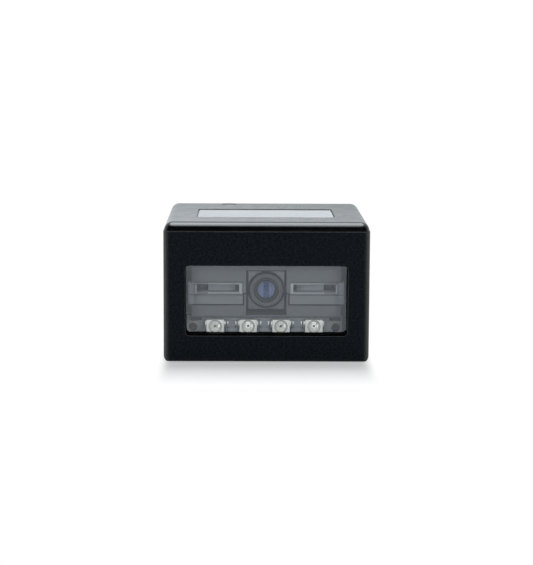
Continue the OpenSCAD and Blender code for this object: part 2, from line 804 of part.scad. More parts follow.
module aimer_bar(s) {
    color([0.7, 0.72, 0.74, 0.5]) translate([s * (aimer_in + aimer_l / 2), 0, aimer_z])
        rotate([90, 0, 90]) linear_extrude(aimer_l, center = true)
            polygon([[face_y, 0], [aimer_back, 0], [aimer_back, aimer_h],
                [face_y + ledge_step + aimer_edge, aimer_h],
                [face_y + ledge_step, aimer_h - aimer_edge],
                [face_y + ledge_step, ledge_h + ledge_step / 2], [face_y, ledge_h]]);
}

module emitter(s) {
    x = slit_x + emitter_in;
    y = aimer_back + slit_d;
    color([0.55, 0.56, 0.57]) mirrored(s)
        block([x, y - emitter_d, slit_z], [x + emitter_l, y, slit_z + slit_h - emitter_fit]);
}

module aimer_bar_left() {
    aimer_bar(-1);
}

module aimer_bar_right() {
    aimer_bar(1);
}

module emitter_left() {
    emitter(-1);
}

module emitter_right() {
    emitter(1);
}

module engine_screws() {
    color([0.6, 0.6, 0.6]) for (x = [-lug_x, lug_x])
        translate([x, lug_y, engine_z + lug_t]) difference() {
            union() {
                cylinder(d = head_d, h = head_h);
                translate([0, 0, screw_end - lug_t - lug_screw])
                    cylinder(d = screw_d, h = lug_t + lug_screw - screw_end + sink);
            }
            translate([0, 0, head_h - hex_deep]) cylinder(d = hex_d, h = head_h, $fn = 6);
        }
}

// Carrier of the barrel, its raised front cut back to four corners
module lens_holder() {
    step_y = holder_y + holder_rise;
    color([0.11, 0.11, 0.115]) difference() {
        union() {
            block([-holder_w / 2, step_y, lens_z - holder_low], [holder_w / 2, bay_y, lens_z + holder_high]);
            block([-holder_face / 2, holder_y, lens_z - holder_low],
                [holder_face / 2, step_y + sink, lens_z + holder_high]);
        }
        bar_y(0, holder_y - past, lens_z, barrel_d + 2 * ring_gap, past + holder_rise);
        bar_y(0, holder_y - past, lens_z, barrel_d + 2 * barrel_fit, barrel_y + barrel_l - holder_y + past);
        bar_y(0, holder_y, lens_z, barrel_d - bore_step, bay_d + past);
    }
}

// Turned barrel: flat rim, groove, cone and step round the glass, glass seats at both ends
module lens_barrel() {
    r = barrel_d / 2;
    g = glass_d / 2;
    rim = r - rim_w;
    cone = rim - ring_groove;
    step = g + glass_step;
    front_seat = glass_set + glass_edge;
    rear_seat = barrel_l - rear_set - glass_edge - glass_bulge;
    color([0.08, 0.08, 0.085]) translate([0, barrel_y, lens_z]) rotate([-90, 0, 0])
        rotate_extrude($fn = 64)
        polygon([[rim, 0], [r - barrel_edge, 0], [r, barrel_edge], [r, barrel_l], [glass_r, barrel_l],
            [glass_r, rear_seat], [g, rear_seat], [g, front_seat], [glass_r, front_seat],
            [glass_r, glass_set], [g, glass_set], [step, cone_set + cone_d + barrel_edge],
            [step, cone_set + cone_d], [cone, cone_set], [cone, ring_deep], [rim, ring_deep]]);
}

// Lens with a flat face on its plane and a bulge beyond its edge, along +Y
module glass_lens() {
    intersection() {
        rotate([-90, 0, 0]) cylinder(r = glass_r, h = glass_edge + glass_bulge + past);
        translate([0, glass_edge + glass_bulge - glass_ball, 0]) rotate([-90, 0, 0])
            sphere(glass_ball, $fn = 96);
    }
}

module front_glass() {
    color([0.35, 0.4, 0.6, 0.6]) translate([0, glass_y + glass_edge, lens_z]) mirror([0, 1, 0])
        intersection() {
            glass_lens();
            union() {
                bar_y(0, -past, 0, 2 * glass_r, past + glass_edge);
                bar_y(0, 0, 0, glass_d, glass_edge + glass_bulge + past);
            }
        }
}

module rear_glass() {
    color([0.4, 0.45, 0.6, 0.6]) translate([0, rear_glass_y + glass_edge, lens_z])
        mirror([0, 1, 0]) glass_lens();
}

module light_board() {
    color([0.06, 0.09, 0.09]) difference() {
        block([light_x - light_w / 2, light_y, light_z1], [light_x + light_w / 2, light_back, light_z2]);
        for (x = peg_xs) bar_y(x, light_y - past, peg_z, plating_d, light_t + 2 * past);
    }
}

module hole_plating() {
    color([0.75, 0.5, 0.25]) for (x = peg_xs) difference() {
        bar_y(x, light_y, peg_z, plating_d, light_t);
        bar_y(x, light_y - past, peg_z, peg_hole, light_t + 2 * past);
    }
}

module lamp(i) {
    color([0.8, 0.8, 0.78]) difference() {
        block([lamp_xs[i] - lamp_w / 2, lamp_y, lamp_z - lamp_h / 2],
            [lamp_xs[i] + lamp_w / 2, light_y, lamp_z + lamp_h / 2]);
        bar_y(lamp_xs[i], lamp_y - past, lamp_z, dome_d, past + cup_d);
    }
}

module dome(i) {
    color([0.85, 0.87, 0.88, 0.4]) intersection() {
        bar_y(lamp_xs[i], lamp_y - dome_h - past, lamp_z, dome_d, dome_h + past + cup_d - die_t);
        union() {
            translate([lamp_xs[i], lamp_y - dome_h + dome_ball, lamp_z]) sphere(dome_ball, $fn = 64);
            bar_y(lamp_xs[i], lamp_y, lamp_z, dome_d + past, cup_d);
        }
    }
}

module lamp_1() {
    lamp(0);
}

module lamp_2() {
    lamp(1);
}

module lamp_3() {
    lamp(2);
}

module lamp_4() {
    lamp(3);
}

module dome_1() {
    dome(0);
}

module dome_2() {
    dome(1);
}

module dome_3() {
    dome(2);
}

module dome_4() {
    dome(3);
}

module lamp_chips() {
    color([0.2, 0.2, 0.2]) for (x = lamp_xs)
        block([x - die_w / 2, lamp_y + cup_d - die_t, lamp_z - die_w / 2],
            [x + die_w / 2, lamp_y + cup_d, lamp_z + die_w / 2]);
}

module lamp_leads() {
    color([0.75, 0.75, 0.76]) for (x = lamp_xs, s = [-1, 1])
        translate([x + s * (lamp_w + lead_w) / 2, light_y - lead_d / 2, lamp_z])
            cube([lead_w, lead_d, lead_h], center = true);
}

module resistor_bodies() {
    color([0.12, 0.12, 0.13]) for (x = resistor_xs)
        translate([x, light_y - resistor_t / 2, lamp_z + resistor_up])
            cube([resistor_l - 2 * cap_l, resistor_t, resistor_h], center = true);
}

module resistor_caps() {
    color([0.78, 0.78, 0.79]) for (x = resistor_xs, s = [-1, 1])
        translate([x + s * (resistor_l - cap_l) / 2, light_y - resistor_t / 2, lamp_z + resistor_up])
            cube([cap_l, resistor_t, resistor_h], center = true);
}

module sensor_board() {
    color([0.05, 0.2, 0.12]) difference() {
        block([-body_x, engine_back, sensor_board_z], [body_x, sensor_back, engine_top]);
        for (s = [-1, 1])
            bar_y(s * sensor_screw_x, engine_back - past, sensor_screw_z,
                small_d + 2 * screw_gap, sensor_board_t + 2 * past);
    }
}

module sensor_screws() {
    color([0.6, 0.6, 0.6]) for (s = [-1, 1])
        translate([s * sensor_screw_x, sensor_back, sensor_screw_z])
            rotate([-90, 0, 0]) difference() {
                union() {
                    cylinder(d = small_head, h = small_h);
                    translate([0, 0, screw_end - small_l - sensor_board_t])
                        cylinder(d = small_d, h = small_l + sensor_board_t - screw_end + sink);
                }
                translate([0, 0, small_h - small_deep]) cylinder(d = small_hex, h = small_h, $fn = 6);
            }
}

module image_sensor() {
    color([0.25, 0.25, 0.26])
        block([-sensor_w / 2, engine_back - sensor_d, lens_z - sensor_h / 2],
            [sensor_w / 2, engine_back, lens_z + sensor_h / 2]);
}

module sensor_glass() {
    color([0.7, 0.75, 0.8, 0.5])
        translate([0, engine_back - sensor_d - sensor_glass_t / 2, lens_z])
            cube([sensor_w - 2 * sensor_rim, sensor_glass_t, sensor_h - 2 * sensor_rim], center = true);
}

module sensor_clip() {
    color([0.85, 0.83, 0.78]) difference() {
        block([-clip_w / 2, sensor_back, clip_z1], [clip_w / 2, sensor_back + clip_t, clip_z2]);
        block([-flex_w / 2 - flex_fit, flex_y - flex_t / 2 - flex_fit, clip_z2 - flex_in],
            [flex_w / 2 + flex_fit, flex_y + flex_t / 2 + flex_fit, clip_z2 + past]);
    }
}

module decoder_clip() {
    color([0.85, 0.83, 0.78]) difference() {
        block([-clip_w / 2, clip_y1, board_z - clip_t], [clip_w / 2, clip_y1 + clip_l, board_z]);
        block([-flex_w / 2 - flex_fit, clip_y1 - past, flex_z - flex_t / 2 - flex_fit],
            [flex_w / 2 + flex_fit, clip_y1 + flex_in, flex_z + flex_t / 2 + flex_fit]);
    }
}

module flex_cable() {
    color([0.85, 0.6, 0.25]) rotate([90, 0, 90]) linear_extrude(flex_w, center = true) {
        translate([flex_y - flex_t / 2, clip_z2 - flex_in])
            square([flex_t, flex_bend_z - clip_z2 + flex_in]);
        translate([flex_y + flex_mid, flex_z - flex_t / 2])
            square([clip_y1 + flex_in - flex_y - flex_mid, flex_t]);
        translate([flex_y + flex_mid, flex_bend_z]) intersection() {
            difference() {
                circle(flex_r + flex_t);
                circle(flex_r);
            }
            translate([-flex_r - flex_t, 0]) square(flex_r + flex_t);
        }
    }
}

module decoder_board() {
    color([0.04, 0.22, 0.13]) difference() {
        block([-board_w / 2, board_y1, board_z], [board_w / 2, board_y2, board_top]);
        at_columns() translate([0, 0, board_z - past])
            cylinder(d = screw_d + 2 * screw_gap, h = board_t + 2 * past);
    }
}

module processor() {
    color([0.08, 0.08, 0.08]) translate([chip_x, 0, board_top + chip_h / 2])
        cube([chip_w, chip_w, chip_h], center = true);
}

module memory_chip() {
    color([0.08, 0.08, 0.08]) translate([memory_x, 0, board_top + memory_h / 2])
        cube([memory_w, memory_d, memory_h], center = true);
}

module crystal() {
    color([0.7, 0.7, 0.7]) translate([0, crystal_y, board_top + crystal_h / 2])
        cube([crystal_w, crystal_d, crystal_h], center = true);
}

module status_lamp() {
    color([0.85, 0.85, 0.8]) translate([pipe_x, pipe_y, board_top + status_h / 2])
        cube([status_w, status_d, status_h], center = true);
}

module buzzer() {
    color([0.07, 0.07, 0.07]) translate([buzzer_x, buzzer_y, board_z - buzzer_h]) difference() {
        cylinder(d = buzzer_d, h = buzzer_h);
        translate([0, 0, -past]) cylinder(d = buzzer_hole, h = past + buzzer_deep);
    }
}

module cable_socket() {
    color([0.85, 0.83, 0.78]) difference() {
        block([socket_x - socket_w / 2, socket_y - socket_d / 2, board_z - socket_h],
            [socket_x + socket_w / 2, socket_y + socket_d / 2, board_z]);
        translate([socket_x, socket_y, board_z - socket_floor - socket_h / 2])
            cube([socket_w - 2 * socket_wall, socket_d - 2 * socket_wall, socket_h], center = true);
    }
}

module socket_pins() {
    color([0.8, 0.7, 0.4]) for (i = [-2.5:1:2.5])
        translate([socket_x + i * pin_pitch, socket_y, board_z - socket_floor - pin_l / 2])
            cube([pin_w, pin_w, pin_l], center = true);
}

housing();
top_cover();
window_seal();
window_pane();
top_label();
light_pipe();
cable_grommet();
cover_screws();
engine_housing();
engine_screws();
lens_holder();
lens_barrel();
front_glass();
rear_glass();
aimer_bar_left();
aimer_bar_right();
emitter_left();
emitter_right();
light_board();
hole_plating();
lamp_1();
lamp_2();
lamp_3();
lamp_4();
dome_1();
dome_2();
dome_3();
dome_4();
lamp_chips();
lamp_leads();
resistor_bodies();
resistor_caps();
sensor_board();
sensor_screws();
image_sensor();
sensor_glass();
sensor_clip();
decoder_board();
processor();
memory_chip();
crystal();
status_lamp();
buzzer();
cable_socket();
socket_pins();
decoder_clip();
flex_cable();
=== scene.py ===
import math

import bmesh
import bpy
from mathutils import Matrix, Vector


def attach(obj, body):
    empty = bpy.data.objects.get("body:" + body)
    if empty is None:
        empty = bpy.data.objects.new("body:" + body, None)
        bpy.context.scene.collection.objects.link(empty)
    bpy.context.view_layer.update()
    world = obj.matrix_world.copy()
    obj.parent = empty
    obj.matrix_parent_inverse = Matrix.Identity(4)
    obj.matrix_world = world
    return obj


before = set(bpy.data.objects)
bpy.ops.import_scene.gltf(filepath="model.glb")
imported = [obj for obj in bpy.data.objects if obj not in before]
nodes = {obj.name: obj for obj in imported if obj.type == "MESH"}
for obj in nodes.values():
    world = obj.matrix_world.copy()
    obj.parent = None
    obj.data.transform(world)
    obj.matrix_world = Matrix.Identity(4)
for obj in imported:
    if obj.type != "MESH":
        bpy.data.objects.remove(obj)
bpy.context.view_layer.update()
scene = bpy.context.scene
scene.view_settings.view_transform = "Standard"
print("frame loaded:", len(nodes), "solids")

# camera where the photograph was taken from
shot = {
    "lens": 112.54,                             # mm
    "sensor": 36,                               # mm
    "clip": (0.01, 20),                         # metres
    "place": (-0.004505, -0.365884, 0.066133),  # metres
    "down": 8.23,                               # degrees below the horizon
    "turn": 0.74,                               # degrees towards +X
    "roll": 0.29,
}


def placeCamera(view):
    data = bpy.data.cameras.new("shotCamera")
    data.sensor_width = view["sensor"]
    data.lens = view["lens"]
    data.clip_start, data.clip_end = view["clip"]
    camera = bpy.data.objects.new("shotCamera", data)
    scene.collection.objects.link(camera)
    turn = Matrix.Rotation(math.radians(-view["turn"]), 4, "Z")
    tilt = Matrix.Rotation(math.radians(90 - view["down"]), 4, "X")
    roll = Matrix.Rotation(math.radians(view["roll"]), 4, "Z")
    camera.matrix_world = Matrix.Translation(view["place"]) @ turn @ tilt @ roll
    scene.camera = camera


placeCamera(shot)
print("camera placed")


def addNode(tree, kind, **values):
    node = tree.nodes.new(kind)
    for key, value in values.items():
        socket = key.replace("_", " ")
        if socket in node.inputs:
            node.inputs[socket].default_value = value
        else:
            setattr(node, key, value)
    return node


def join(tree, source, outName, target, inName):
    tree.links.new(source.outputs[outName], target.inputs[inName])


def newMaterial(name):
    material = bpy.data.materials.new(name)
    material.use_nodes = True
    tree = material.node_tree
    tree.nodes.clear()
    out = tree.nodes.new("ShaderNodeOutputMaterial")
    return material, tree, out


# ray switch: 1 for what is seen straight or through glass
def seenRays(tree, path):
    seen = addNode(tree, "ShaderNodeMath", operation="MAXIMUM")
    join(tree, path, "Is Camera Ray", seen, 0)
    join(tree, path, "Is Transmission Ray", seen, 1)
    return seen


# studio: bright cloth behind and overhead, dark room behind the camera
studio = {
    "backLight": 0.95,               # bright cloth behind, as mirrored
    "roomLight": 0.03,               # dark room behind the camera, as mirrored
    "overLight": 8.0,                # soft box overhead, as mirrored
    "overAxis": (0.0, 0.1, 0.995),   # towards its middle
    "overEdge": (0.79, 0.985),       # cosines from that axis where it fades
    "fillLight": 0.14,               # even light from all round
    "changeOver": (-0.25, 0.25),     # where the cloth ends, as the ray's y direction
    "lightTint": (0.9, 0.96, 1.0, 1),
    "floorColour": (0.9, 0.86, 0.84, 1),
    "floorLift": 0.33,               # white cloth glow, seen only
    "floorHalf": 3.0,
    "floorCells": 8,
    "floorDrop": 0.00003,            # keeps the cloth just clear of the base
    "plainFrom": (0.05, 0.11),       # beyond this ring the floor is plain white cloth
    "plainSide": (0.0187, 0.0216),   # and so it is either side of the case, painted light that hides the case's shadow there
}

# soft boxes, in metres and watts
lamps = {
    "keyStrip": {"place": (0.0, 0.203, 0.457), "aim": (0, 0, 0), "size": (0.03, 0.344), "watts": 2.0},
    "rightBox": {"place": (0.22, -0.5, 0.12), "aim": (0, 0, 0.012), "size": (0.12, 0.2), "watts": 0.97},
    "leftBox": {"place": (-0.24, -0.5, 0.12), "aim": (0, 0, 0.012), "size": (0.12, 0.2), "watts": 0.9},
}


def buildWorld(look):
    world = bpy.data.worlds.new("studioSurround")
    scene.world = world
    world.use_nodes = True
    tree = world.node_tree
    tree.nodes.clear()
    out = addNode(tree, "ShaderNodeOutputWorld")
    place = addNode(tree, "ShaderNodeTexCoord")
    split = addNode(tree, "ShaderNodeSeparateXYZ")
    ramp = addNode(tree, "ShaderNodeMapRange", interpolation_type="SMOOTHSTEP",
                   From_Min=look["changeOver"][0], From_Max=look["changeOver"][1],
                   To_Min=look["roomLight"], To_Max=look["backLight"])
    over = addNode(tree, "ShaderNodeVectorMath", operation="DOT_PRODUCT")
    over.inputs[1].default_value = look["overAxis"]
    patch = addNode(tree, "ShaderNodeMapRange", interpolation_type="SMOOTHSTEP",
                    From_Min=look["overEdge"][0], From_Max=look["overEdge"][1], To_Max=look["overLight"])
    total = addNode(tree, "ShaderNodeMath", operation="ADD")
    path = addNode(tree, "ShaderNodeLightPath")
    direct = seenRays(tree, path)
    seen = addNode(tree, "ShaderNodeBackground", Color=(1, 1, 1, 1), Strength=1)
    light = addNode(tree, "ShaderNodeBackground", Color=look["lightTint"])
    fill = addNode(tree, "ShaderNodeBackground", Color=look["lightTint"], Strength=look["fillLight"])
    around = addNode(tree, "ShaderNodeMixShader")
    mix = addNode(tree, "ShaderNodeMixShader")
    join(tree, place, "Generated", split, 0)
    join(tree, split, "Y", ramp, "Value")
    join(tree, place, "Generated", over, 0)
    join(tree, over, "Value", patch, "Value")
    join(tree, ramp, "Result", total, 0)
    join(tree, patch, "Result", total, 1)
    join(tree, total, 0, light, "Strength")
    join(tree, path, "Is Glossy Ray", around, 0)
    join(tree, fill, 0, around, 1)
    join(tree, light, 0, around, 2)
    join(tree, direct, 0, mix, 0)
    join(tree, around, 0, mix, 1)
    join(tree, seen, 0, mix, 2)
    join(tree, mix, 0, out, "Surface")


def buildFloor(look):
    material, tree, out = newMaterial("floorCloth")
    cloth = addNode(tree, "ShaderNodeBsdfDiffuse", Color=look["floorColour"])
    glow = addNode(tree, "ShaderNodeEmission", Color=(1, 1, 1, 1))
    lit = addNode(tree, "ShaderNodeAddShader")
    plain = addNode(tree, "ShaderNodeEmission", Color=(1, 1, 1, 1), Strength=1)
    place = addNode(tree, "ShaderNodeTexCoord")
    reach = addNode(tree, "ShaderNodeVectorMath", operation="LENGTH")
    ring = addNode(tree, "ShaderNodeMapRange", interpolation_type="SMOOTHSTEP",
                   From_Min=look["plainFrom"][0], From_Max=look["plainFrom"][1])
    split = addNode(tree, "ShaderNodeSeparateXYZ")
    flip = addNode(tree, "ShaderNodeMath", operation="ABSOLUTE")
    sides = addNode(tree, "ShaderNodeMapRange", interpolation_type="SMOOTHSTEP",
                    From_Min=look["plainSide"][0], From_Max=look["plainSide"][1])
    bare = addNode(tree, "ShaderNodeMath", operation="MAXIMUM")
    path = addNode(tree, "ShaderNodeLightPath")
    direct = seenRays(tree, path)
    both = addNode(tree, "ShaderNodeMath", operation="MAXIMUM")    # mirrored rays too
    lift = addNode(tree, "ShaderNodeMath", operation="MULTIPLY")
    lift.inputs[1].default_value = look["floorLift"]
    share = addNode(tree, "ShaderNodeMath", operation="MULTIPLY")
    mix = addNode(tree, "ShaderNodeMixShader")
    join(tree, direct, 0, both, 0)
    join(tree, path, "Is Glossy Ray", both, 1)
    join(tree, both, 0, lift, 0)
    join(tree, lift, 0, glow, "Strength")
    join(tree, cloth, 0, lit, 0)
    join(tree, glow, 0, lit, 1)
    join(tree, place, "Object", reach, 0)
    join(tree, reach, "Value", ring, "Value")
    join(tree, place, "Object", split, 0)
    join(tree, split, "X", flip, 0)
    join(tree, flip, 0, sides, "Value")
    join(tree, ring, "Result", bare, 0)
    join(tree, sides, "Result", bare, 1)
    join(tree, bare, 0, share, 0)
    join(tree, both, 0, share, 1)
    join(tree, share, 0, mix, 0)
    join(tree, lit, 0, mix, 1)
    join(tree, plain, 0, mix, 2)
    join(tree, mix, 0, out, "Surface")
    form = bmesh.new()
    cells = look["floorCells"]
    bmesh.ops.create_grid(form, x_segments=cells, y_segments=cells, size=look["floorHalf"])
    mesh = bpy.data.meshes.new("studioFloor")
    form.to_mesh(mesh)
    form.free()
    mesh.materials.append(material)
    floor = bpy.data.objects.new("studioFloor", mesh)
    floor.location = (0, 0, -look["floorDrop"])
    scene.collection.objects.link(floor)


def hangLamps(look, tint):
    for name, lamp in look.items():
        data = bpy.data.lights.new(name, "AREA")
        data.color = tint[:3]
        data.shape = "RECTANGLE"
        data.size, data.size_y = lamp["size"]
        data.energy = lamp["watts"]
        box = bpy.data.objects.new(name, data)
        box.visible_glossy = False              # surfaces mirror the surround instead
        scene.collection.objects.link(box)
        aim = Vector(lamp["aim"]) - Vector(lamp["place"])
        turn = aim.to_track_quat("-Z", "Y").to_matrix().to_4x4()
        box.matrix_world = Matrix.Translation(lamp["place"]) @ turn


buildWorld(studio)
buildFloor(studio)
hangLamps(lamps, studio["lightTint"])
print("studio lit with", len(lamps), "soft boxes")


# settings that the surfaces share
finish = {
    "noiseSpan": (0.3, 0.7),         # where most values of a noise lie
    "gapSpan": (0.35, 0.95),         # openness, from a closed gap to a free face, for the painted shade in gaps
    "filmSpan": (0.35, 0.8),         # noise values, from clean to dusty
    "paleEdgeSpan": (0.97, 0.8),          # how far the rounded normal leans, from a plain face to a paler edge
    "paleEdgeMost": 1.5,
    "cornerPower": 3.0,              # higher keeps the painted highlight on the corners narrower
    "recessBlur": 0.05,              # blurs in mm
    "polishBlur": 0.06,
    "endBlur": 0.25,
}
mixSockets = {"RGBA": (6, 7, 2), "FLOAT": (2, 3, 0)}    # two inputs and the result of a mix node
mmPerMetre = 1000


# mixes two colours or two numbers, each a plain value or another node's output
def blend(tree, kind, factor, first, second):
    mix = addNode(tree, "ShaderNodeMix", data_type=kind)
    one, two, result = mixSockets[kind]
    tree.links.new(factor, mix.inputs[0])
    for number, value in ((one, first), (two, second)):
        if isinstance(value, bpy.types.NodeSocket):
            tree.links.new(value, mix.inputs[number])
        else:
            mix.inputs[number].default_value = value
    return mix.outputs[result]


# shades a colour by a factor that runs from 0 to 1
def shadeBy(tree, colour, factor, darkest, span=(0.0, 1.0)):
    level = addNode(tree, "ShaderNodeMapRange", From_Min=span[0], From_Max=span[1],
                    To_Min=darkest, To_Max=1.0)
    tree.links.new(factor, level.inputs["Value"])
    shade = addNode(tree, "ShaderNodeMix", data_type="RGBA", blend_type="MULTIPLY")
    one, two, result = mixSockets["RGBA"]
    shade.inputs[0].default_value = 1.0
    tree.links.new(colour, shade.inputs[one])
    tree.links.new(level.outputs["Result"], shade.inputs[two])
    return shade.outputs[result]


# roughness that follows a noise
def roughBy(tree, noise, span):
    low, high = finish["noiseSpan"]
    rough = addNode(tree, "ShaderNodeMapRange", From_Min=low, From_Max=high,
                    To_Min=span[0], To_Max=span[1])
    join(tree, noise, "Fac", rough, "Value")
    return rough.outputs["Result"]


# 1 inside a box given in millimetres and mirrored about the middle, 0 outside, with blurred sides
def boxMask(tree, place, low, high, blur):
    split = addNode(tree, "ShaderNodeSeparateXYZ")
    flip = addNode(tree, "ShaderNodeMath", operation="ABSOLUTE")
    join(tree, place, "Object", split, 0)
    join(tree, split, "X", flip, 0)
    mask = None
    for side, source in enumerate((flip.outputs[0], split.outputs["Y"], split.outputs["Z"])):
        rise = addNode(tree, "ShaderNodeMapRange", From_Min=(low[side] - blur) / mmPerMetre,
                       From_Max=(low[side] + blur) / mmPerMetre)
        fall = addNode(tree, "ShaderNodeMapRange", From_Min=(high[side] - blur) / mmPerMetre,
                       From_Max=(high[side] + blur) / mmPerMetre, To_Min=1.0, To_Max=0.0)
        for part in (rise, fall):
            tree.links.new(source, part.inputs["Value"])
            if mask is None:
                mask = part.outputs[0]
                continue
            both = addNode(tree, "ShaderNodeMath", operation="MULTIPLY")
            tree.links.new(mask, both.inputs[0])
            tree.links.new(part.outputs[0], both.inputs[1])
            mask = both.outputs[0]
    return mask


# paler along the edges, partly worn and partly a painted highlight where edges catch the light: how far in
# from an edge, and the paler colour
def paleEdgesWornAndLit(tree, colour, grain, edgeWearAndHighlight):
    reach, paleEdgeColour = edgeWearAndHighlight
    rounded = addNode(tree, "ShaderNodeBevel", samples=6, Radius=reach)
    plain = addNode(tree, "ShaderNodeNewGeometry")
    lean = addNode(tree, "ShaderNodeVectorMath", operation="DOT_PRODUCT")
    amount = addNode(tree, "ShaderNodeMapRange", From_Min=finish["paleEdgeSpan"][0],
                     From_Max=finish["paleEdgeSpan"][1], To_Max=finish["paleEdgeMost"])
    broken = addNode(tree, "ShaderNodeMath", operation="MULTIPLY")
    join(tree, rounded, "Normal", lean, 0)
    join(tree, plain, "Normal", lean, 1)
    join(tree, lean, "Value", amount, "Value")
    join(tree, amount, "Result", broken, 0)
    join(tree, grain, "Fac", broken, 1)
    return blend(tree, "RGBA", broken.outputs[0], colour, paleEdgeColour)


# painted highlight, paler at the upright corners where the side light falls: weights of x, y and z, sums
# where it starts and is full, the colour
def paintedCornerHighlight(tree, place, colour, corners):
    along, near, tip, highlightColour = corners
    apart = addNode(tree, "ShaderNodeVectorMath", operation="ABSOLUTE")
    reach = addNode(tree, "ShaderNodeVectorMath", operation="DOT_PRODUCT")
    reach.inputs[1].default_value = along
    amount = addNode(tree, "ShaderNodeMapRange", From_Min=near, From_Max=tip)
    steep = addNode(tree, "ShaderNodeMath", operation="POWER")
    steep.inputs[1].default_value = finish["cornerPower"]
    join(tree, place, "Object", apart, 0)
    join(tree, apart, 0, reach, 0)
    join(tree, reach, "Value", amount, "Value")
    join(tree, amount, "Result", steep, 0)
    return blend(tree, "RGBA", steep.outputs[0], colour, highlightColour)


# duller towards one corner: how much rougher for each metre along x, y and z
def driftDull(tree, place, blunt, drift):
    slope = addNode(tree, "ShaderNodeVectorMath", operation="DOT_PRODUCT")
    slope.inputs[1].default_value = drift
    duller = addNode(tree, "ShaderNodeMath", operation="ADD")
    join(tree, place, "Object", slope, 0)
    join(tree, slope, "Value", duller, 0)
    tree.links.new(blunt, duller.inputs[1])
    return duller.outputs[0]


# painted shade, darker towards the foot where shade falls: heights in metres of the foot and of the plain
# part, and the share left
def paintedFootShade(tree, place, colour, footShade):
    foot, head, darkest = footShade
    split = addNode(tree, "ShaderNodeSeparateXYZ")
    rise = addNode(tree, "ShaderNodeMapRange", From_Min=foot, From_Max=head)
    join(tree, place, "Object", split, 0)
    join(tree, split, "Z", rise, "Value")
    return shadeBy(tree, colour, rise.outputs["Result"], darkest)


# painted shade, flat black inside openings and grooves where shade falls: two corners in millimetres, the
# share left, the roughness
def paintedRecessShade(tree, place, colour, blunt, recessShade):
    low, high, darkest, dull = recessShade
    inside = boxMask(tree, place, low, high, finish["recessBlur"])
    outside = addNode(tree, "ShaderNodeMath", operation="SUBTRACT")
    outside.inputs[0].default_value = 1.0
    tree.links.new(inside, outside.inputs[1])
    black = shadeBy(tree, colour, outside.outputs[0], darkest)
    return black, blend(tree, "FLOAT", inside, blunt, dull)


# moulded, cast and coated surfaces: colour patches, a fine grain and softened edges, and where a look asks
# for it painted shade in gaps, openings and at the foot, and painted highlights on edges and upright
# corners
def grainSurface(name, look):
    material, tree, out = newMaterial(name)
    skin = addNode(tree, "ShaderNodeBsdfPrincipled")
    skin.inputs["Specular IOR Level"].default_value = look["specular"]
    place = addNode(tree, "ShaderNodeTexCoord")
    patches = addNode(tree, "ShaderNodeTexNoise", Scale=look["patches"], Detail=4.0, Roughness=0.6)
    grain = addNode(tree, "ShaderNodeTexNoise", Scale=look["grain"], Detail=3.0, Roughness=0.55)
    relief = addNode(tree, "ShaderNodeBump", Strength=look["relief"], Distance=look["depth"])
    edge = addNode(tree, "ShaderNodeBevel", samples=4, Radius=look["edge"])
    mottle = look.get("mottle", 0.5)            # smaller parts the two colours harder
    spread = addNode(tree, "ShaderNodeMapRange", From_Min=0.5 - mottle, From_Max=0.5 + mottle)
    join(tree, place, "Object", patches, "Vector")
    join(tree, place, "Object", grain, "Vector")
    join(tree, patches, "Fac", spread, "Value")
    colour = blend(tree, "RGBA", spread.outputs["Result"], look["colour"], look["colour2"])
    blunt = roughBy(tree, patches, look["rough"])
    if "paintedGapShade" in look:                       # painted shade, darker in gaps: reach of the gap, share that is left
        reach, darkest = look["paintedGapShade"]
        gap = addNode(tree, "ShaderNodeAmbientOcclusion", samples=8, Distance=reach)
        colour = shadeBy(tree, colour, gap.outputs["AO"], darkest, finish["gapSpan"])
    # paler edges: partly worn, partly painted highlight
    if "edgeWearAndHighlight" in look:
        colour = paleEdgesWornAndLit(tree, colour, grain, look["edgeWearAndHighlight"])
    # painted highlight on the upright corners
    if "corners" in look:
        colour = paintedCornerHighlight(tree, place, colour, look["corners"])
    if "drift" in look:
        blunt = driftDull(tree, place, blunt, look["drift"])
    # painted shade towards the foot
    if "footShade" in look:
        colour = paintedFootShade(tree, place, colour, look["footShade"])
    # painted shade inside openings and grooves
    if "recessShade" in look:
        colour, blunt = paintedRecessShade(tree, place, colour, blunt, look["recessShade"])
    tree.links.new(colour, skin.inputs["Base Color"])
    tree.links.new(blunt, skin.inputs["Roughness"])
    join(tree, grain, "Fac", relief, "Height")
    join(tree, edge, "Normal", relief, "Normal")
    join(tree, relief, "Normal", skin, "Normal")
    join(tree, skin, 0, out, "Surface")
    return material


# drawn, brushed or turned lines, stretched along one axis
def lineMetal(name, look):
    material, tree, out = newMaterial(name)
    skin = addNode(tree, "ShaderNodeBsdfPrincipled", Metallic=look["metal"])
    place = addNode(tree, "ShaderNodeTexCoord")
    stretch = addNode(tree, "ShaderNodeMapping", Scale=look["stretch"])
    lines = addNode(tree, "ShaderNodeTexNoise", Scale=look["lines"], Detail=4.0, Roughness=0.65)
    relief = addNode(tree, "ShaderNodeBump", Strength=look["relief"], Distance=look["depth"])
    edge = addNode(tree, "ShaderNodeBevel", samples=4, Radius=look["edge"])
    join(tree, place, "Object", stretch, "Vector")
    join(tree, stretch, "Vector", lines, "Vector")
    colour = blend(tree, "RGBA", lines.outputs["Fac"], look["colour"], look["colour2"])
    tree.links.new(colour, skin.inputs["Base Color"])
    tree.links.new(roughBy(tree, lines, look["rough"]), skin.inputs["Roughness"])
    join(tree, lines, "Fac", relief, "Height")
    join(tree, edge, "Normal", relief, "Normal")
    join(tree, relief, "Normal", skin, "Normal")
    join(tree, skin, 0, out, "Surface")
    return material


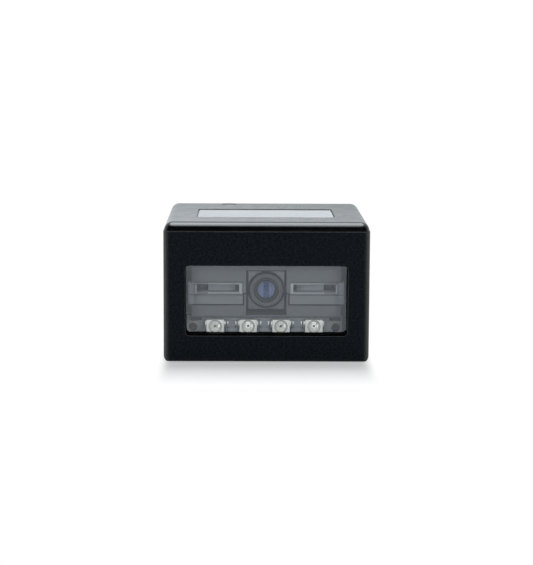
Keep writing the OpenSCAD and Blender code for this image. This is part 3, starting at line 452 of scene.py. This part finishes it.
# flat clear pieces: light goes straight through, front faces mirror a little
def clearSheet(name, look):
    material, tree, out = newMaterial(name)
    clear = addNode(tree, "ShaderNodeBsdfTransparent", Color=look["tint"])
    shine = addNode(tree, "ShaderNodeBsdfGlossy", Color=look["gloss"], Roughness=look["rough"])
    haze = addNode(tree, "ShaderNodeBsdfDiffuse", Color=look["haze"])
    place = addNode(tree, "ShaderNodeTexCoord")
    film = addNode(tree, "ShaderNodeTexNoise", Scale=look["film"], Detail=5.0, Roughness=0.7)
    low, high = finish["filmSpan"]
    cloud = addNode(tree, "ShaderNodeMapRange", From_Min=low, From_Max=high,
                    To_Min=look["hazeShare"][0], To_Max=look["hazeShare"][1])
    body = addNode(tree, "ShaderNodeMixShader")
    gloss = addNode(tree, "ShaderNodeFresnel", IOR=look["ior"])
    side = addNode(tree, "ShaderNodeNewGeometry")
    front = addNode(tree, "ShaderNodeMath", operation="SUBTRACT")
    front.inputs[0].default_value = 1.0
    share = addNode(tree, "ShaderNodeMath", operation="MULTIPLY")
    mix = addNode(tree, "ShaderNodeMixShader")
    join(tree, place, "Object", film, "Vector")
    join(tree, film, "Fac", cloud, "Value")
    hazy = cloud.outputs["Result"]
    if "window" in look:                        # frosted but for a polished window, paler at the ends
        low, high, frosted = look["window"]
        polished = boxMask(tree, place, low, high, finish["polishBlur"])
        hazy = blend(tree, "FLOAT", polished, frosted, hazy)
        low, high, endColour = look["ends"]
        tip = boxMask(tree, place, low, high, finish["endBlur"])
        tree.links.new(blend(tree, "RGBA", tip, look["haze"], endColour), haze.inputs["Color"])
    tree.links.new(hazy, body.inputs[0])
    join(tree, clear, 0, body, 1)
    join(tree, haze, 0, body, 2)
    join(tree, side, "Backfacing", front, 1)
    join(tree, gloss, 0, share, 0)
    join(tree, front, 0, share, 1)
    join(tree, share, 0, mix, 0)
    join(tree, body, 0, mix, 1)
    join(tree, shine, 0, mix, 2)
    join(tree, mix, 0, out, "Surface")
    return material


# rounded clear pieces: bent light for the eye, plain for the lamps
def clearDrop(name, look):
    material, tree, out = newMaterial(name)
    skin = addNode(tree, "ShaderNodeBsdfPrincipled", IOR=look["ior"])
    skin.inputs["Transmission Weight"].default_value = 1.0
    skin.inputs["Specular Tint"].default_value = look["gloss"]
    skin.inputs["Specular IOR Level"].default_value = look["specular"]
    place = addNode(tree, "ShaderNodeTexCoord")
    flow = addNode(tree, "ShaderNodeTexNoise", Scale=look["flow"], Detail=2.0)
    path = addNode(tree, "ShaderNodeLightPath")
    clear = addNode(tree, "ShaderNodeBsdfTransparent", Color=look["shade"])
    mix = addNode(tree, "ShaderNodeMixShader")
    join(tree, place, "Object", flow, "Vector")
    colour = blend(tree, "RGBA", flow.outputs["Fac"], look["colour"], look["colour2"])
    tree.links.new(colour, skin.inputs["Base Color"])
    tree.links.new(roughBy(tree, flow, look["rough"]), skin.inputs["Roughness"])
    join(tree, path, "Is Shadow Ray", mix, 0)
    join(tree, skin, 0, mix, 1)
    join(tree, clear, 0, mix, 2)
    join(tree, mix, 0, out, "Surface")
    return material


def dress(material, *names):
    for name in names:
        for slot in nodes[name].material_slots:
            slot.material = material


# black powder coat on the cast case
caseCoat = {
    "colour": (0.0, 0.0, 0.0, 1), "colour2": (0.0106, 0.0148, 0.0186, 1), "mottle": 0.23,
    "patches": 2400.0, "rough": (0.4, 0.52), "specular": 0.05,
    "grain": 3000.0, "relief": 0.6, "depth": 0.0001, "edge": 0.00016,
    # painted shade: the inside of the window opening is near black; painted highlight: paler edges, partly
    # worn, and paler upright corners
    "recessShade": ((-1.0, -19.9, 4.0), (16.4, -10.0, 20.0), 0.02, 1.0),
    "edgeWearAndHighlight": (0.00025, (0.13, 0.133, 0.138, 1)),
    "corners": ((2.5, 1.0, 0.0), 0.0675, 0.0698, (0.095, 0.089, 0.084, 1)),
}
dress(grainSurface("caseCoat", caseCoat), "housing")

# the cover has the same black, laid on smoother
coverCoat = {
    "colour": (0.0008, 0.001, 0.0012, 1), "colour2": (0.0014, 0.0017, 0.002, 1),
    "patches": 420.0, "rough": (0.2, 0.26), "specular": 0.5,
    "grain": 3000.0, "relief": 0.12, "depth": 0.00005, "edge": 0.00008, "drift": (1.4, 1.6, 0.0),
}
dress(grainSurface("coverCoat", coverCoat), "top_cover")

# bare satin label, lightly brushed across
labelFoil = {
    "colour": (0.465, 0.469, 0.473, 1), "colour2": (0.52, 0.524, 0.528, 1), "metal": 0.08,
    "stretch": (0.06, 1.0, 1.0), "lines": 2600.0, "rough": (0.3, 0.42),
    "relief": 0.12, "depth": 0.00002, "edge": 0.00003,
}
dress(lineMetal("labelFoil", labelFoil), "top_label")

# smoked plug of the status light
smokedPlug = {
    "colour": (0.02, 0.02, 0.021, 1), "colour2": (0.035, 0.035, 0.036, 1),
    "patches": 900.0, "rough": (0.12, 0.22), "specular": 0.5,
    "grain": 5200.0, "relief": 0.06, "depth": 0.00002, "edge": 0.00006,
}
dress(grainSurface("smokedPlug", smokedPlug), "light_pipe")

# rubber of the cable entry
entryRubber = {
    "colour": (0.012, 0.012, 0.0125, 1), "colour2": (0.022, 0.022, 0.023, 1),
    "patches": 380.0, "rough": (0.6, 0.75), "specular": 0.35,
    "grain": 2600.0, "relief": 0.2, "depth": 0.00006, "edge": 0.0002,
}
dress(grainSurface("entryRubber", entryRubber), "cable_grommet")

# black tape round the pane
sealTape = {
    "colour": (0.006, 0.006, 0.0065, 1), "colour2": (0.011, 0.011, 0.0115, 1),
    "patches": 700.0, "rough": (0.6, 0.8), "specular": 0.2,
    "grain": 5000.0, "relief": 0.2, "depth": 0.00003, "edge": 0.00004,
}
dress(grainSurface("sealTape", sealTape), "window_seal")

# clear window, clean but for a thin film of dust
windowSheet = {
    "tint": (0.97, 0.98, 0.985, 1), "gloss": (0.85, 0.93, 1.0, 1), "ior": 1.78, "rough": 0.0,
    "haze": (0.5, 0.51, 0.53, 1), "hazeShare": (0.0, 0.012), "film": 520.0,
}
dress(clearSheet("windowSheet", windowSheet), "window_pane")

# dark grey moulding of the scan engine
engineMould = {
    "colour": (0.092, 0.095, 0.098, 1), "colour2": (0.12, 0.123, 0.126, 1),
    "patches": 650.0, "rough": (0.45, 0.6), "specular": 0.4,
    # painted shade: darker in gaps, a dark band along the lower edge, and black grooves beside the aimer
    # bars
    "grain": 7000.0, "relief": 0.25, "depth": 0.00002, "edge": 0.00008, "paintedGapShade": (0.0006, 0.02),
    "footShade": (0.00825, 0.0086, 0.1),
    "recessShade": ((3.9, -14.7, 10.4), (16.0, -12.0, 13.25), 0.03, 1.0),
}
dress(grainSurface("engineMould", engineMould), "engine_housing")

# lens carrier, a little smoother and lighter
lensMould = {
    "colour": (0.113, 0.116, 0.119, 1), "colour2": (0.14, 0.143, 0.146, 1),
    "patches": 900.0, "rough": (0.4, 0.52), "specular": 0.45,
    # painted shade: darker in gaps and towards its foot
    "grain": 8000.0, "relief": 0.15, "depth": 0.00002, "edge": 0.0001, "paintedGapShade": (0.0004, 0.05),
    "footShade": (0.01, 0.0145, 0.6),
}
dress(grainSurface("lensMould", lensMould), "lens_holder")

# black anodised barrel
barrelBlack = {
    "colour": (0.045, 0.047, 0.05, 1), "colour2": (0.06, 0.063, 0.066, 1),
    "patches": 1200.0, "rough": (0.32, 0.45), "specular": 0.5,
    # painted shade: darker in the grooves between its rings
    "grain": 9000.0, "relief": 0.1, "depth": 0.00001, "edge": 0.00006, "paintedGapShade": (0.0011, 0.0),
}
dress(grainSurface("barrelBlack", barrelBlack), "lens_barrel")

# coated lens glass
lensGlass = {
    "colour": (0.62, 0.71, 0.9, 1), "colour2": (0.68, 0.77, 0.95, 1), "ior": 1.6,
    "gloss": (0.36, 0.45, 0.98, 1), "specular": 0.75, "rough": (0.0, 0.02), "flow": 800.0,
    "shade": (0.8, 0.82, 0.95, 1),
}
dress(clearDrop("lensGlass", lensGlass), "front_glass", "rear_glass")

# clear bars over the aiming lights
aimerClear = {
    "tint": (0.93, 0.94, 0.95, 1), "gloss": (0.95, 0.98, 1.0, 1), "ior": 1.2, "rough": 0.08,
    "haze": (0.19, 0.193, 0.198, 1), "hazeShare": (0.0, 0.02), "film": 900.0,
    "window": ((5.47, -20.0, 13.37), (13.94, 0.0, 14.87), 0.88),
    "ends": ((14.6, -20.0, 0.0), (17.0, 0.0, 20.0), (0.27, 0.285, 0.31, 1)),
}
dress(clearSheet("aimerClear", aimerClear), "aimer_bar_left", "aimer_bar_right")

# pale strip that spreads the aiming light
aimerStrip = {
    "colour": (0.4, 0.402, 0.404, 1), "colour2": (0.46, 0.462, 0.464, 1),
    "patches": 1100.0, "rough": (0.35, 0.5), "specular": 0.4,
    "grain": 6000.0, "relief": 0.1, "depth": 0.00002, "edge": 0.00006,
}
dress(grainSurface("aimerStrip", aimerStrip), "emitter_left", "emitter_right")

# black solder mask of the light board, painted grey to stand in for light it lacks behind the window, and
# painted shade along its foot
boardMaskPaintedLight = {
    "colour": (0.215, 0.222, 0.23, 1), "colour2": (0.28, 0.289, 0.298, 1),
    "patches": 500.0, "rough": (0.25, 0.4), "specular": 0.5,
    "grain": 4000.0, "relief": 0.15, "depth": 0.00003, "edge": 0.00005,
    "footShade": (0.00472, 0.00486, 0.02),
}
dress(grainSurface("boardMaskPaintedLight", boardMaskPaintedLight), "light_board")

# green solder mask of the two inner boards
greenMask = {
    "colour": (0.012, 0.07, 0.035, 1), "colour2": (0.02, 0.1, 0.05, 1),
    "patches": 500.0, "rough": (0.25, 0.4), "specular": 0.5,
    "grain": 4000.0, "relief": 0.15, "depth": 0.00003, "edge": 0.00005,
}
dress(grainSurface("greenMask", greenMask), "sensor_board", "decoder_board")

# gold plating of the board holes
holeGold = {
    "colour": (0.72, 0.45, 0.2, 1), "colour2": (0.85, 0.62, 0.34, 1), "metal": 1.0,
    "stretch": (1.0, 0.3, 1.0), "lines": 5000.0, "rough": (0.16, 0.3),
    "relief": 0.1, "depth": 0.00001, "edge": 0.00005,
}
dress(lineMetal("holeGold", holeGold), "hole_plating", "socket_pins")

# pale moulded lamp packages
lampWhite = {
    "colour": (0.94, 0.875, 0.795, 1), "colour2": (0.985, 0.935, 0.855, 1),
    "patches": 1500.0, "rough": (0.3, 0.45), "specular": 0.5,
    "grain": 6000.0, "relief": 0.12, "depth": 0.00002, "edge": 0.0001,
}
dress(grainSurface("lampWhite", lampWhite), "lamp_1", "lamp_2", "lamp_3", "lamp_4", "status_lamp")

# clear silicone domes of the lamps
domeClear = {
    "tint": (1.0, 0.998, 0.99, 1), "gloss": (1.0, 1.0, 1.0, 1), "ior": 1.25, "rough": 0.05,
    "haze": (0.86, 0.845, 0.8, 1), "hazeShare": (0.0, 0.04), "film": 1600.0,
}
dress(clearSheet("domeClear", domeClear), "dome_1", "dome_2", "dome_3", "dome_4")

# light chips, dark to ochre
chipDark = {
    "colour": (0.05, 0.04, 0.02, 1), "colour2": (0.2, 0.16, 0.07, 1),
    "patches": 4000.0, "rough": (0.25, 0.4), "specular": 0.5,
    "grain": 9000.0, "relief": 0.1, "depth": 0.00001, "edge": 0.00003,
}
dress(grainSurface("chipDark", chipDark), "lamp_chips")

# tinned leads and end caps
tinned = {
    "colour": (0.62, 0.62, 0.61, 1), "colour2": (0.78, 0.78, 0.77, 1), "metal": 1.0,
    "stretch": (1.0, 1.0, 0.6), "lines": 3200.0, "rough": (0.1, 0.24),
    "relief": 0.3, "depth": 0.00003, "edge": 0.0001,
}
dress(lineMetal("tinned", tinned), "lamp_leads", "resistor_caps", "crystal")

# black chip packages and grey resistors
packageBlack = {
    "colour": (0.03, 0.031, 0.033, 1), "colour2": (0.05, 0.052, 0.055, 1),
    "patches": 800.0, "rough": (0.4, 0.55), "specular": 0.4,
    "grain": 6000.0, "relief": 0.2, "depth": 0.00002, "edge": 0.00006,
}
dress(grainSurface("packageBlack", packageBlack), "processor", "memory_chip", "buzzer", "image_sensor")
resistorGrey = {
    "colour": (0.17, 0.175, 0.185, 1), "colour2": (0.24, 0.247, 0.26, 1),
    "patches": 1300.0, "rough": (0.3, 0.45), "specular": 0.5,
    "grain": 6000.0, "relief": 0.15, "depth": 0.00002, "edge": 0.00006,
}
dress(grainSurface("resistorGrey", resistorGrey), "resistor_bodies")

# blackened and bright screws
screwBlack = {
    "colour": (0.03, 0.03, 0.032, 1), "colour2": (0.06, 0.06, 0.063, 1), "metal": 0.8,
    "stretch": (1.0, 1.0, 0.2), "lines": 2400.0, "rough": (0.3, 0.45),
    "relief": 0.15, "depth": 0.00002, "edge": 0.0001,
}
dress(lineMetal("screwBlack", screwBlack), "cover_screws")
screwZinc = {
    "colour": (0.55, 0.56, 0.57, 1), "colour2": (0.7, 0.71, 0.72, 1), "metal": 1.0,
    "stretch": (1.0, 1.0, 0.3), "lines": 2400.0, "rough": (0.25, 0.4),
    "relief": 0.12, "depth": 0.00002, "edge": 0.00008,
}
dress(lineMetal("screwZinc", screwZinc), "engine_screws", "sensor_screws")

# cream connectors, sensor cover glass and flex cable
creamMould = {
    "colour": (0.62, 0.58, 0.48, 1), "colour2": (0.72, 0.68, 0.58, 1),
    "patches": 700.0, "rough": (0.4, 0.55), "specular": 0.4,
    "grain": 5000.0, "relief": 0.12, "depth": 0.00002, "edge": 0.00006,
}
dress(grainSurface("creamMould", creamMould), "sensor_clip", "decoder_clip", "cable_socket")
sensorSheet = {
    "tint": (0.85, 0.88, 0.9, 1), "gloss": (1.0, 1.0, 1.0, 1), "ior": 1.7, "rough": 0.02,
    "haze": (0.3, 0.33, 0.36, 1), "hazeShare": (0.0, 0.03), "film": 700.0,
}
dress(clearSheet("sensorSheet", sensorSheet), "sensor_glass")
flexAmber = {
    "colour": (0.5, 0.26, 0.06, 1), "colour2": (0.6, 0.34, 0.1, 1), "metal": 0.0,
    "stretch": (1.0, 0.1, 0.1), "lines": 2000.0, "rough": (0.25, 0.35),
    "relief": 0.15, "depth": 0.00002, "edge": 0.00004,
}
dress(lineMetal("flexAmber", flexAmber), "flex_cable")
print("materials on", len(nodes), "solids")


# corners of a solid in millimetres
def nodeBox(name):
    corners = [nodes[name].matrix_world @ Vector(corner) for corner in nodes[name].bound_box]
    low = [mmPerMetre * min(corner[side] for corner in corners) for side in range(3)]
    high = [mmPerMetre * max(corner[side] for corner in corners) for side in range(3)]
    return low, high


# small fittings are drawn in millimetres as lists of points and faces
def addPiece(name, drawing, material):
    points, faces = drawing
    mesh = bpy.data.meshes.new(name)
    metres = [Vector(point) / mmPerMetre for point in points]
    mesh.from_pydata(metres, [], faces)
    form = bmesh.new()
    form.from_mesh(mesh)
    bmesh.ops.recalc_face_normals(form, faces=form.faces)
    form.to_mesh(mesh)
    form.free()
    mesh.materials.append(material)
    piece = bpy.data.objects.new(name, mesh)
    scene.collection.objects.link(piece)
    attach(piece, "root")


# a ridge of roof section between two lines of (x, z) points, standing out towards the window
def drawRidge(drawing, outer, inner, base, height, closed=False):
    points, faces = drawing
    start = len(points)
    count = len(outer)
    for (x1, z1), (x2, z2) in zip(outer, inner):
        points.append((x1, base, z1))
        points.append(((x1 + x2) / 2, base - height, (z1 + z2) / 2))
        points.append((x2, base, z2))
    for step in range(count if closed else count - 1):
        a = start + 3 * step
        b = start + 3 * ((step + 1) % count)
        faces.append((a, b, b + 1, a + 1))
        faces.append((a + 1, b + 1, b + 2, a + 2))
        faces.append((a + 2, b + 2, b, a))
    if not closed:
        last = start + 3 * (count - 1)
        faces.append((start, start + 1, start + 2))
        faces.append((last, last + 2, last + 1))


# a flat pad with chamfered sides, its front leaning back by a slope
def drawPad(drawing, middle, size, base, height, chamfer, lean=0.0):
    points, faces = drawing
    start = len(points)
    for level, inset, slope in ((base, 0, 0.0), (base - height, chamfer, lean)):
        for sx, sz in ((-1, -1), (1, -1), (1, 1), (-1, 1)):
            rise = sz * (size[1] / 2 - inset)
            points.append((middle[0] + sx * (size[0] / 2 - inset), level + slope * rise, middle[1] + rise))
    faces.append(tuple(range(start, start + 4)))
    faces.append(tuple(range(start + 4, start + 8)))
    for side in range(4):
        after = (side + 1) % 4
        faces.append((start + side, start + after, start + 4 + after, start + 4 + side))


# a flat ring, its front leaning back by a slope
def drawRing(drawing, middle, radii, base, height, count, lean=0.0):
    points, faces = drawing
    start = len(points)
    outer, inner = radii
    section = ((outer, 0, 0.0), (outer, height, lean), (inner, height, lean), (inner, 0, 0.0))
    for step in range(count):
        turn = 2 * math.pi * step / count
        for radius, level, slope in section:
            across = radius * math.cos(turn)
            rise = radius * math.sin(turn)
            points.append((middle[0] + across, base - level + slope * rise, middle[1] + rise))
    for step in range(count):
        a = start + 4 * step
        b = start + 4 * ((step + 1) % count)
        for corner in range(4):
            after = (corner + 1) % 4
            faces.append((a + corner, b + corner, b + after, a + after))


def circle(middle, radius, count):
    turns = [2 * math.pi * step / count for step in range(count)]
    return [(middle[0] + radius * math.cos(turn), middle[1] + radius * math.sin(turn)) for turn in turns]


# raised light-guide edges on the front of each aimer bar
guideEdge = {
    "step": 0.5,                       # the upper front lies this far behind the ledge
    "top": (15.14, 14.86), "foot": (12.97, 13.32),
    "inner": (4.74, 5.47), "start": 11.7,
    "outer": (14.42, 14.0), "outerTop": 14.8,
    "rise": 0.12, "sunk": 0.02,
}
guideFrost = {
    "colour": (0.31, 0.32, 0.333, 1), "colour2": (0.38, 0.39, 0.405, 1),
    "patches": 1400.0, "rough": (0.3, 0.45), "specular": 0.5,
    "grain": 7000.0, "relief": 0.1, "depth": 0.00001, "edge": 0.00003,
}
frost = grainSurface("guideFrost", guideFrost)
for side, name in ((-1, "left"), (1, "right")):
    face = nodeBox("aimer_bar_" + name)[0][1] + guideEdge["step"] + guideEdge["sunk"]
    rise = guideEdge["rise"] + guideEdge["sunk"]
    top, foot, inner = guideEdge["top"], guideEdge["foot"], guideEdge["inner"]
    outerX, start = guideEdge["outer"], guideEdge["start"]
    guide = ([], [])
    lines = []
    for rim in (0, 1):                 # outer, then inner line
        corners = ((start, top[rim]), (inner[rim], top[rim]), (inner[rim], foot[rim]), (start, foot[rim]))
        lines.append([(side * x, z) for x, z in corners])
    drawRidge(guide, lines[0], lines[1], face, rise)
    drawRidge(guide,
              [(side * outerX[0], guideEdge["outerTop"]), (side * outerX[0], foot[0])],
              [(side * outerX[1], guideEdge["outerTop"]), (side * outerX[1], foot[0])],
              face, rise)
    addPiece("aimerGuide_" + name, guide, frost)

# two blades of the lens stop behind the front glass
lensStop = {"slot": 0.52, "radius": 1.86, "behind": 0.06, "thick": 0.12, "around": 16}
stopGrey = {
    "colour": (0.09, 0.087, 0.083, 1), "colour2": (0.12, 0.116, 0.11, 1),
    "patches": 1600.0, "rough": (0.35, 0.5), "specular": 0.4,
    "grain": 8000.0, "relief": 0.08, "depth": 0.00001, "edge": 0.00003,
}
stopSkin = grainSurface("stopGrey", stopGrey)
glassLow, glassHigh = nodeBox("front_glass")
axisZ = (glassLow[2] + glassHigh[2]) / 2
for side, name in ((-1, "left"), (1, "right")):
    sweep = math.acos(lensStop["slot"] / lensStop["radius"])
    turns = [sweep * (2 * step / lensStop["around"] - 1) for step in range(lensStop["around"] + 1)]
    edge = [(side * lensStop["radius"] * math.cos(turn), axisZ + lensStop["radius"] * math.sin(turn))
            for turn in turns]
    front = glassHigh[1] + lensStop["behind"]
    blade = ([(x, front, z) for x, z in edge] + [(x, front + lensStop["thick"], z) for x, z in edge], [])
    count = len(edge)
    blade[1].append(tuple(range(count)))
    blade[1].append(tuple(range(count, 2 * count)))
    for step in range(count):
        after = (step + 1) % count
        blade[1].append((step, after, count + after, count + step))
    addPiece("lensStop_" + name, blade, stopSkin)

# painted shade: black strips put where shade falls, behind the foot of the pane and on the sill, both
# turned up at the corners
windowFoot = {
    "lip": {"half": 16.3, "turn": 1.1, "line": 5.33, "deep": 1.13, "from": 0.0, "to": 0.45},
    "sillShade": {"half": 16.08, "turn": 0.78, "line": 5.37, "deep": 0.03, "from": -4.0, "to": -2.05},
    "steps": 10,
}
shadeStripAndRingBlack = {
    "colour": (0.0006, 0.0006, 0.0007, 1), "colour2": (0.0014, 0.0014, 0.0015, 1),
    "patches": 700.0, "rough": (0.7, 0.85), "specular": 0.0,
    "grain": 5000.0, "relief": 0.2, "depth": 0.00003, "edge": 0.00004,
}
shadeStripAndRingSkin = grainSurface("shadeStripAndRingBlack", shadeStripAndRingBlack)
paneBack = nodeBox("window_pane")[1][1]
for name in ("lip", "sillShade"):
    band = windowFoot[name]
    line = []
    for step in range(windowFoot["steps"] + 1):
        angle = math.pi / 2 * step / windowFoot["steps"]
        line.append((band["half"] - band["turn"] * (1 - math.sin(angle)),
                     band["line"] + band["turn"] * (1 - math.cos(angle))))
    line = [(-x, z) for x, z in reversed(line)] + line
    near, far = paneBack + band["from"], paneBack + band["to"]
    strip = ([], [])
    for x, z in line:
        foot = z - band["deep"]
        strip[0].extend([(x, near, foot), (x, near, z), (x, far, z), (x, far, foot)])
    for step in range(len(line) - 1):
        a = 4 * step
        for corner in range(4):
            after = (corner + 1) % 4
            strip[1].append((a + corner, a + after, a + 4 + after, a + 4 + corner))
    strip[1].append((0, 1, 2, 3))
    strip[1].append(tuple(range(len(strip[0]) - 4, len(strip[0]))))
    addPiece("window_" + name, strip, shadeStripAndRingSkin)

# black ring that holds the front glass in the barrel
glassRing = {"radii": (1.99, 1.79), "depth": 0.78, "height": 0.08, "around": 48}
ring = ([], [])
drawRing(ring, (0.0, axisZ), glassRing["radii"], nodeBox("lens_barrel")[0][1] + glassRing["depth"],
         glassRing["height"], glassRing["around"])
addPiece("glassRing", ring, shadeStripAndRingSkin)

# flanges that close the gap beside the engine
engineFlange = {"inset": 0.02, "reach": 1.5, "front": -10.9, "depth": 0.5, "top": 20.3,
                "foot": {"left": 8.3, "right": 4.9}, "chamfer": 0.08}
flangeGrey = {
    "colour": (0.12, 0.123, 0.127, 1), "colour2": (0.16, 0.163, 0.167, 1),
    "patches": 700.0, "rough": (0.45, 0.6), "specular": 0.4,
    "grain": 7000.0, "relief": 0.2, "depth": 0.00002, "edge": 0.00006,
}
flangeSkin = grainSurface("flangeGrey", flangeGrey)
engineSide = nodeBox("engine_housing")[1][0] + engineFlange["inset"]
for side, name in ((-1, "left"), (1, "right")):
    foot = engineFlange["foot"][name]
    flange = ([], [])
    drawPad(flange, (side * (engineSide + engineFlange["reach"] / 2), (foot + engineFlange["top"]) / 2),
            (engineFlange["reach"], engineFlange["top"] - foot),
            engineFlange["front"] + engineFlange["depth"], engineFlange["depth"], engineFlange["chamfer"])
    addPiece("engineFlange_" + name, flange, flangeSkin)

# plated pads round each light chip, and the rim where the dome meets its package
lampPads = {
    "above": ((0.0, 0.66), (0.92, 0.38)), "beside": ((0.76, 0.02), (0.4, 0.76)),    # shift, size
    "slug": (0.47, 0.27), "height": 0.08, "chamfer": 0.02, "lean": 0.055,
    "rim": (1.34, 1.2), "rimRise": 0.05, "rimSunk": 0.01, "around": 28,
}
padBright = {
    "colour": (0.86, 0.87, 0.87, 1), "colour2": (0.93, 0.94, 0.94, 1), "metal": 1.0,
    "stretch": (1.0, 1.0, 0.4), "lines": 6000.0, "rough": (0.04, 0.08),
    "relief": 0.02, "depth": 0.00001, "edge": 0.00002,
}
padDull = dict(padBright, colour=(0.8, 0.8, 0.77, 1), colour2=(0.88, 0.88, 0.85, 1), rough=(0.16, 0.26))
rimGrey = {
    "colour": (0.2, 0.196, 0.18, 1), "colour2": (0.26, 0.255, 0.235, 1),
    "patches": 1800.0, "rough": (0.3, 0.45), "specular": 0.5,
    "grain": 8000.0, "relief": 0.08, "depth": 0.00001, "edge": 0.00003,
}
dullSkin = lineMetal("padDull", padDull)
brightSkin = lineMetal("padBright", padBright)
rimSkin = grainSurface("rimGrey", rimGrey)
cupFloor = nodeBox("lamp_chips")[1][1]
for number in (1, 2, 3, 4):
    low, high = nodeBox("lamp_%d" % number)
    middle = ((low[0] + high[0]) / 2, (low[2] + high[2]) / 2)
    pads = ([], [])
    sidePad = ([], [])
    for key, drawing in (("above", pads), ("beside", sidePad)):
        shift, size = lampPads[key]
        drawPad(drawing, (middle[0] + shift[0], middle[1] + shift[1]), size, cupFloor,
                lampPads["height"], lampPads["chamfer"], lampPads["lean"])
    drawRing(pads, middle, lampPads["slug"], cupFloor, lampPads["height"],
             lampPads["around"], lampPads["lean"])
    addPiece("lampPads_%d" % number, pads, dullSkin if number % 2 else brightSkin)
    addPiece("lampSidePad_%d" % number, sidePad, brightSkin)
    rim = ([], [])
    outer, inner = [circle(middle, radius, lampPads["around"]) for radius in lampPads["rim"]]
    drawRidge(rim, outer, inner, low[1] + lampPads["rimSunk"], lampPads["rimRise"], True)
    addPiece("domeRim_%d" % number, rim, rimSkin)
print("small fittings added")
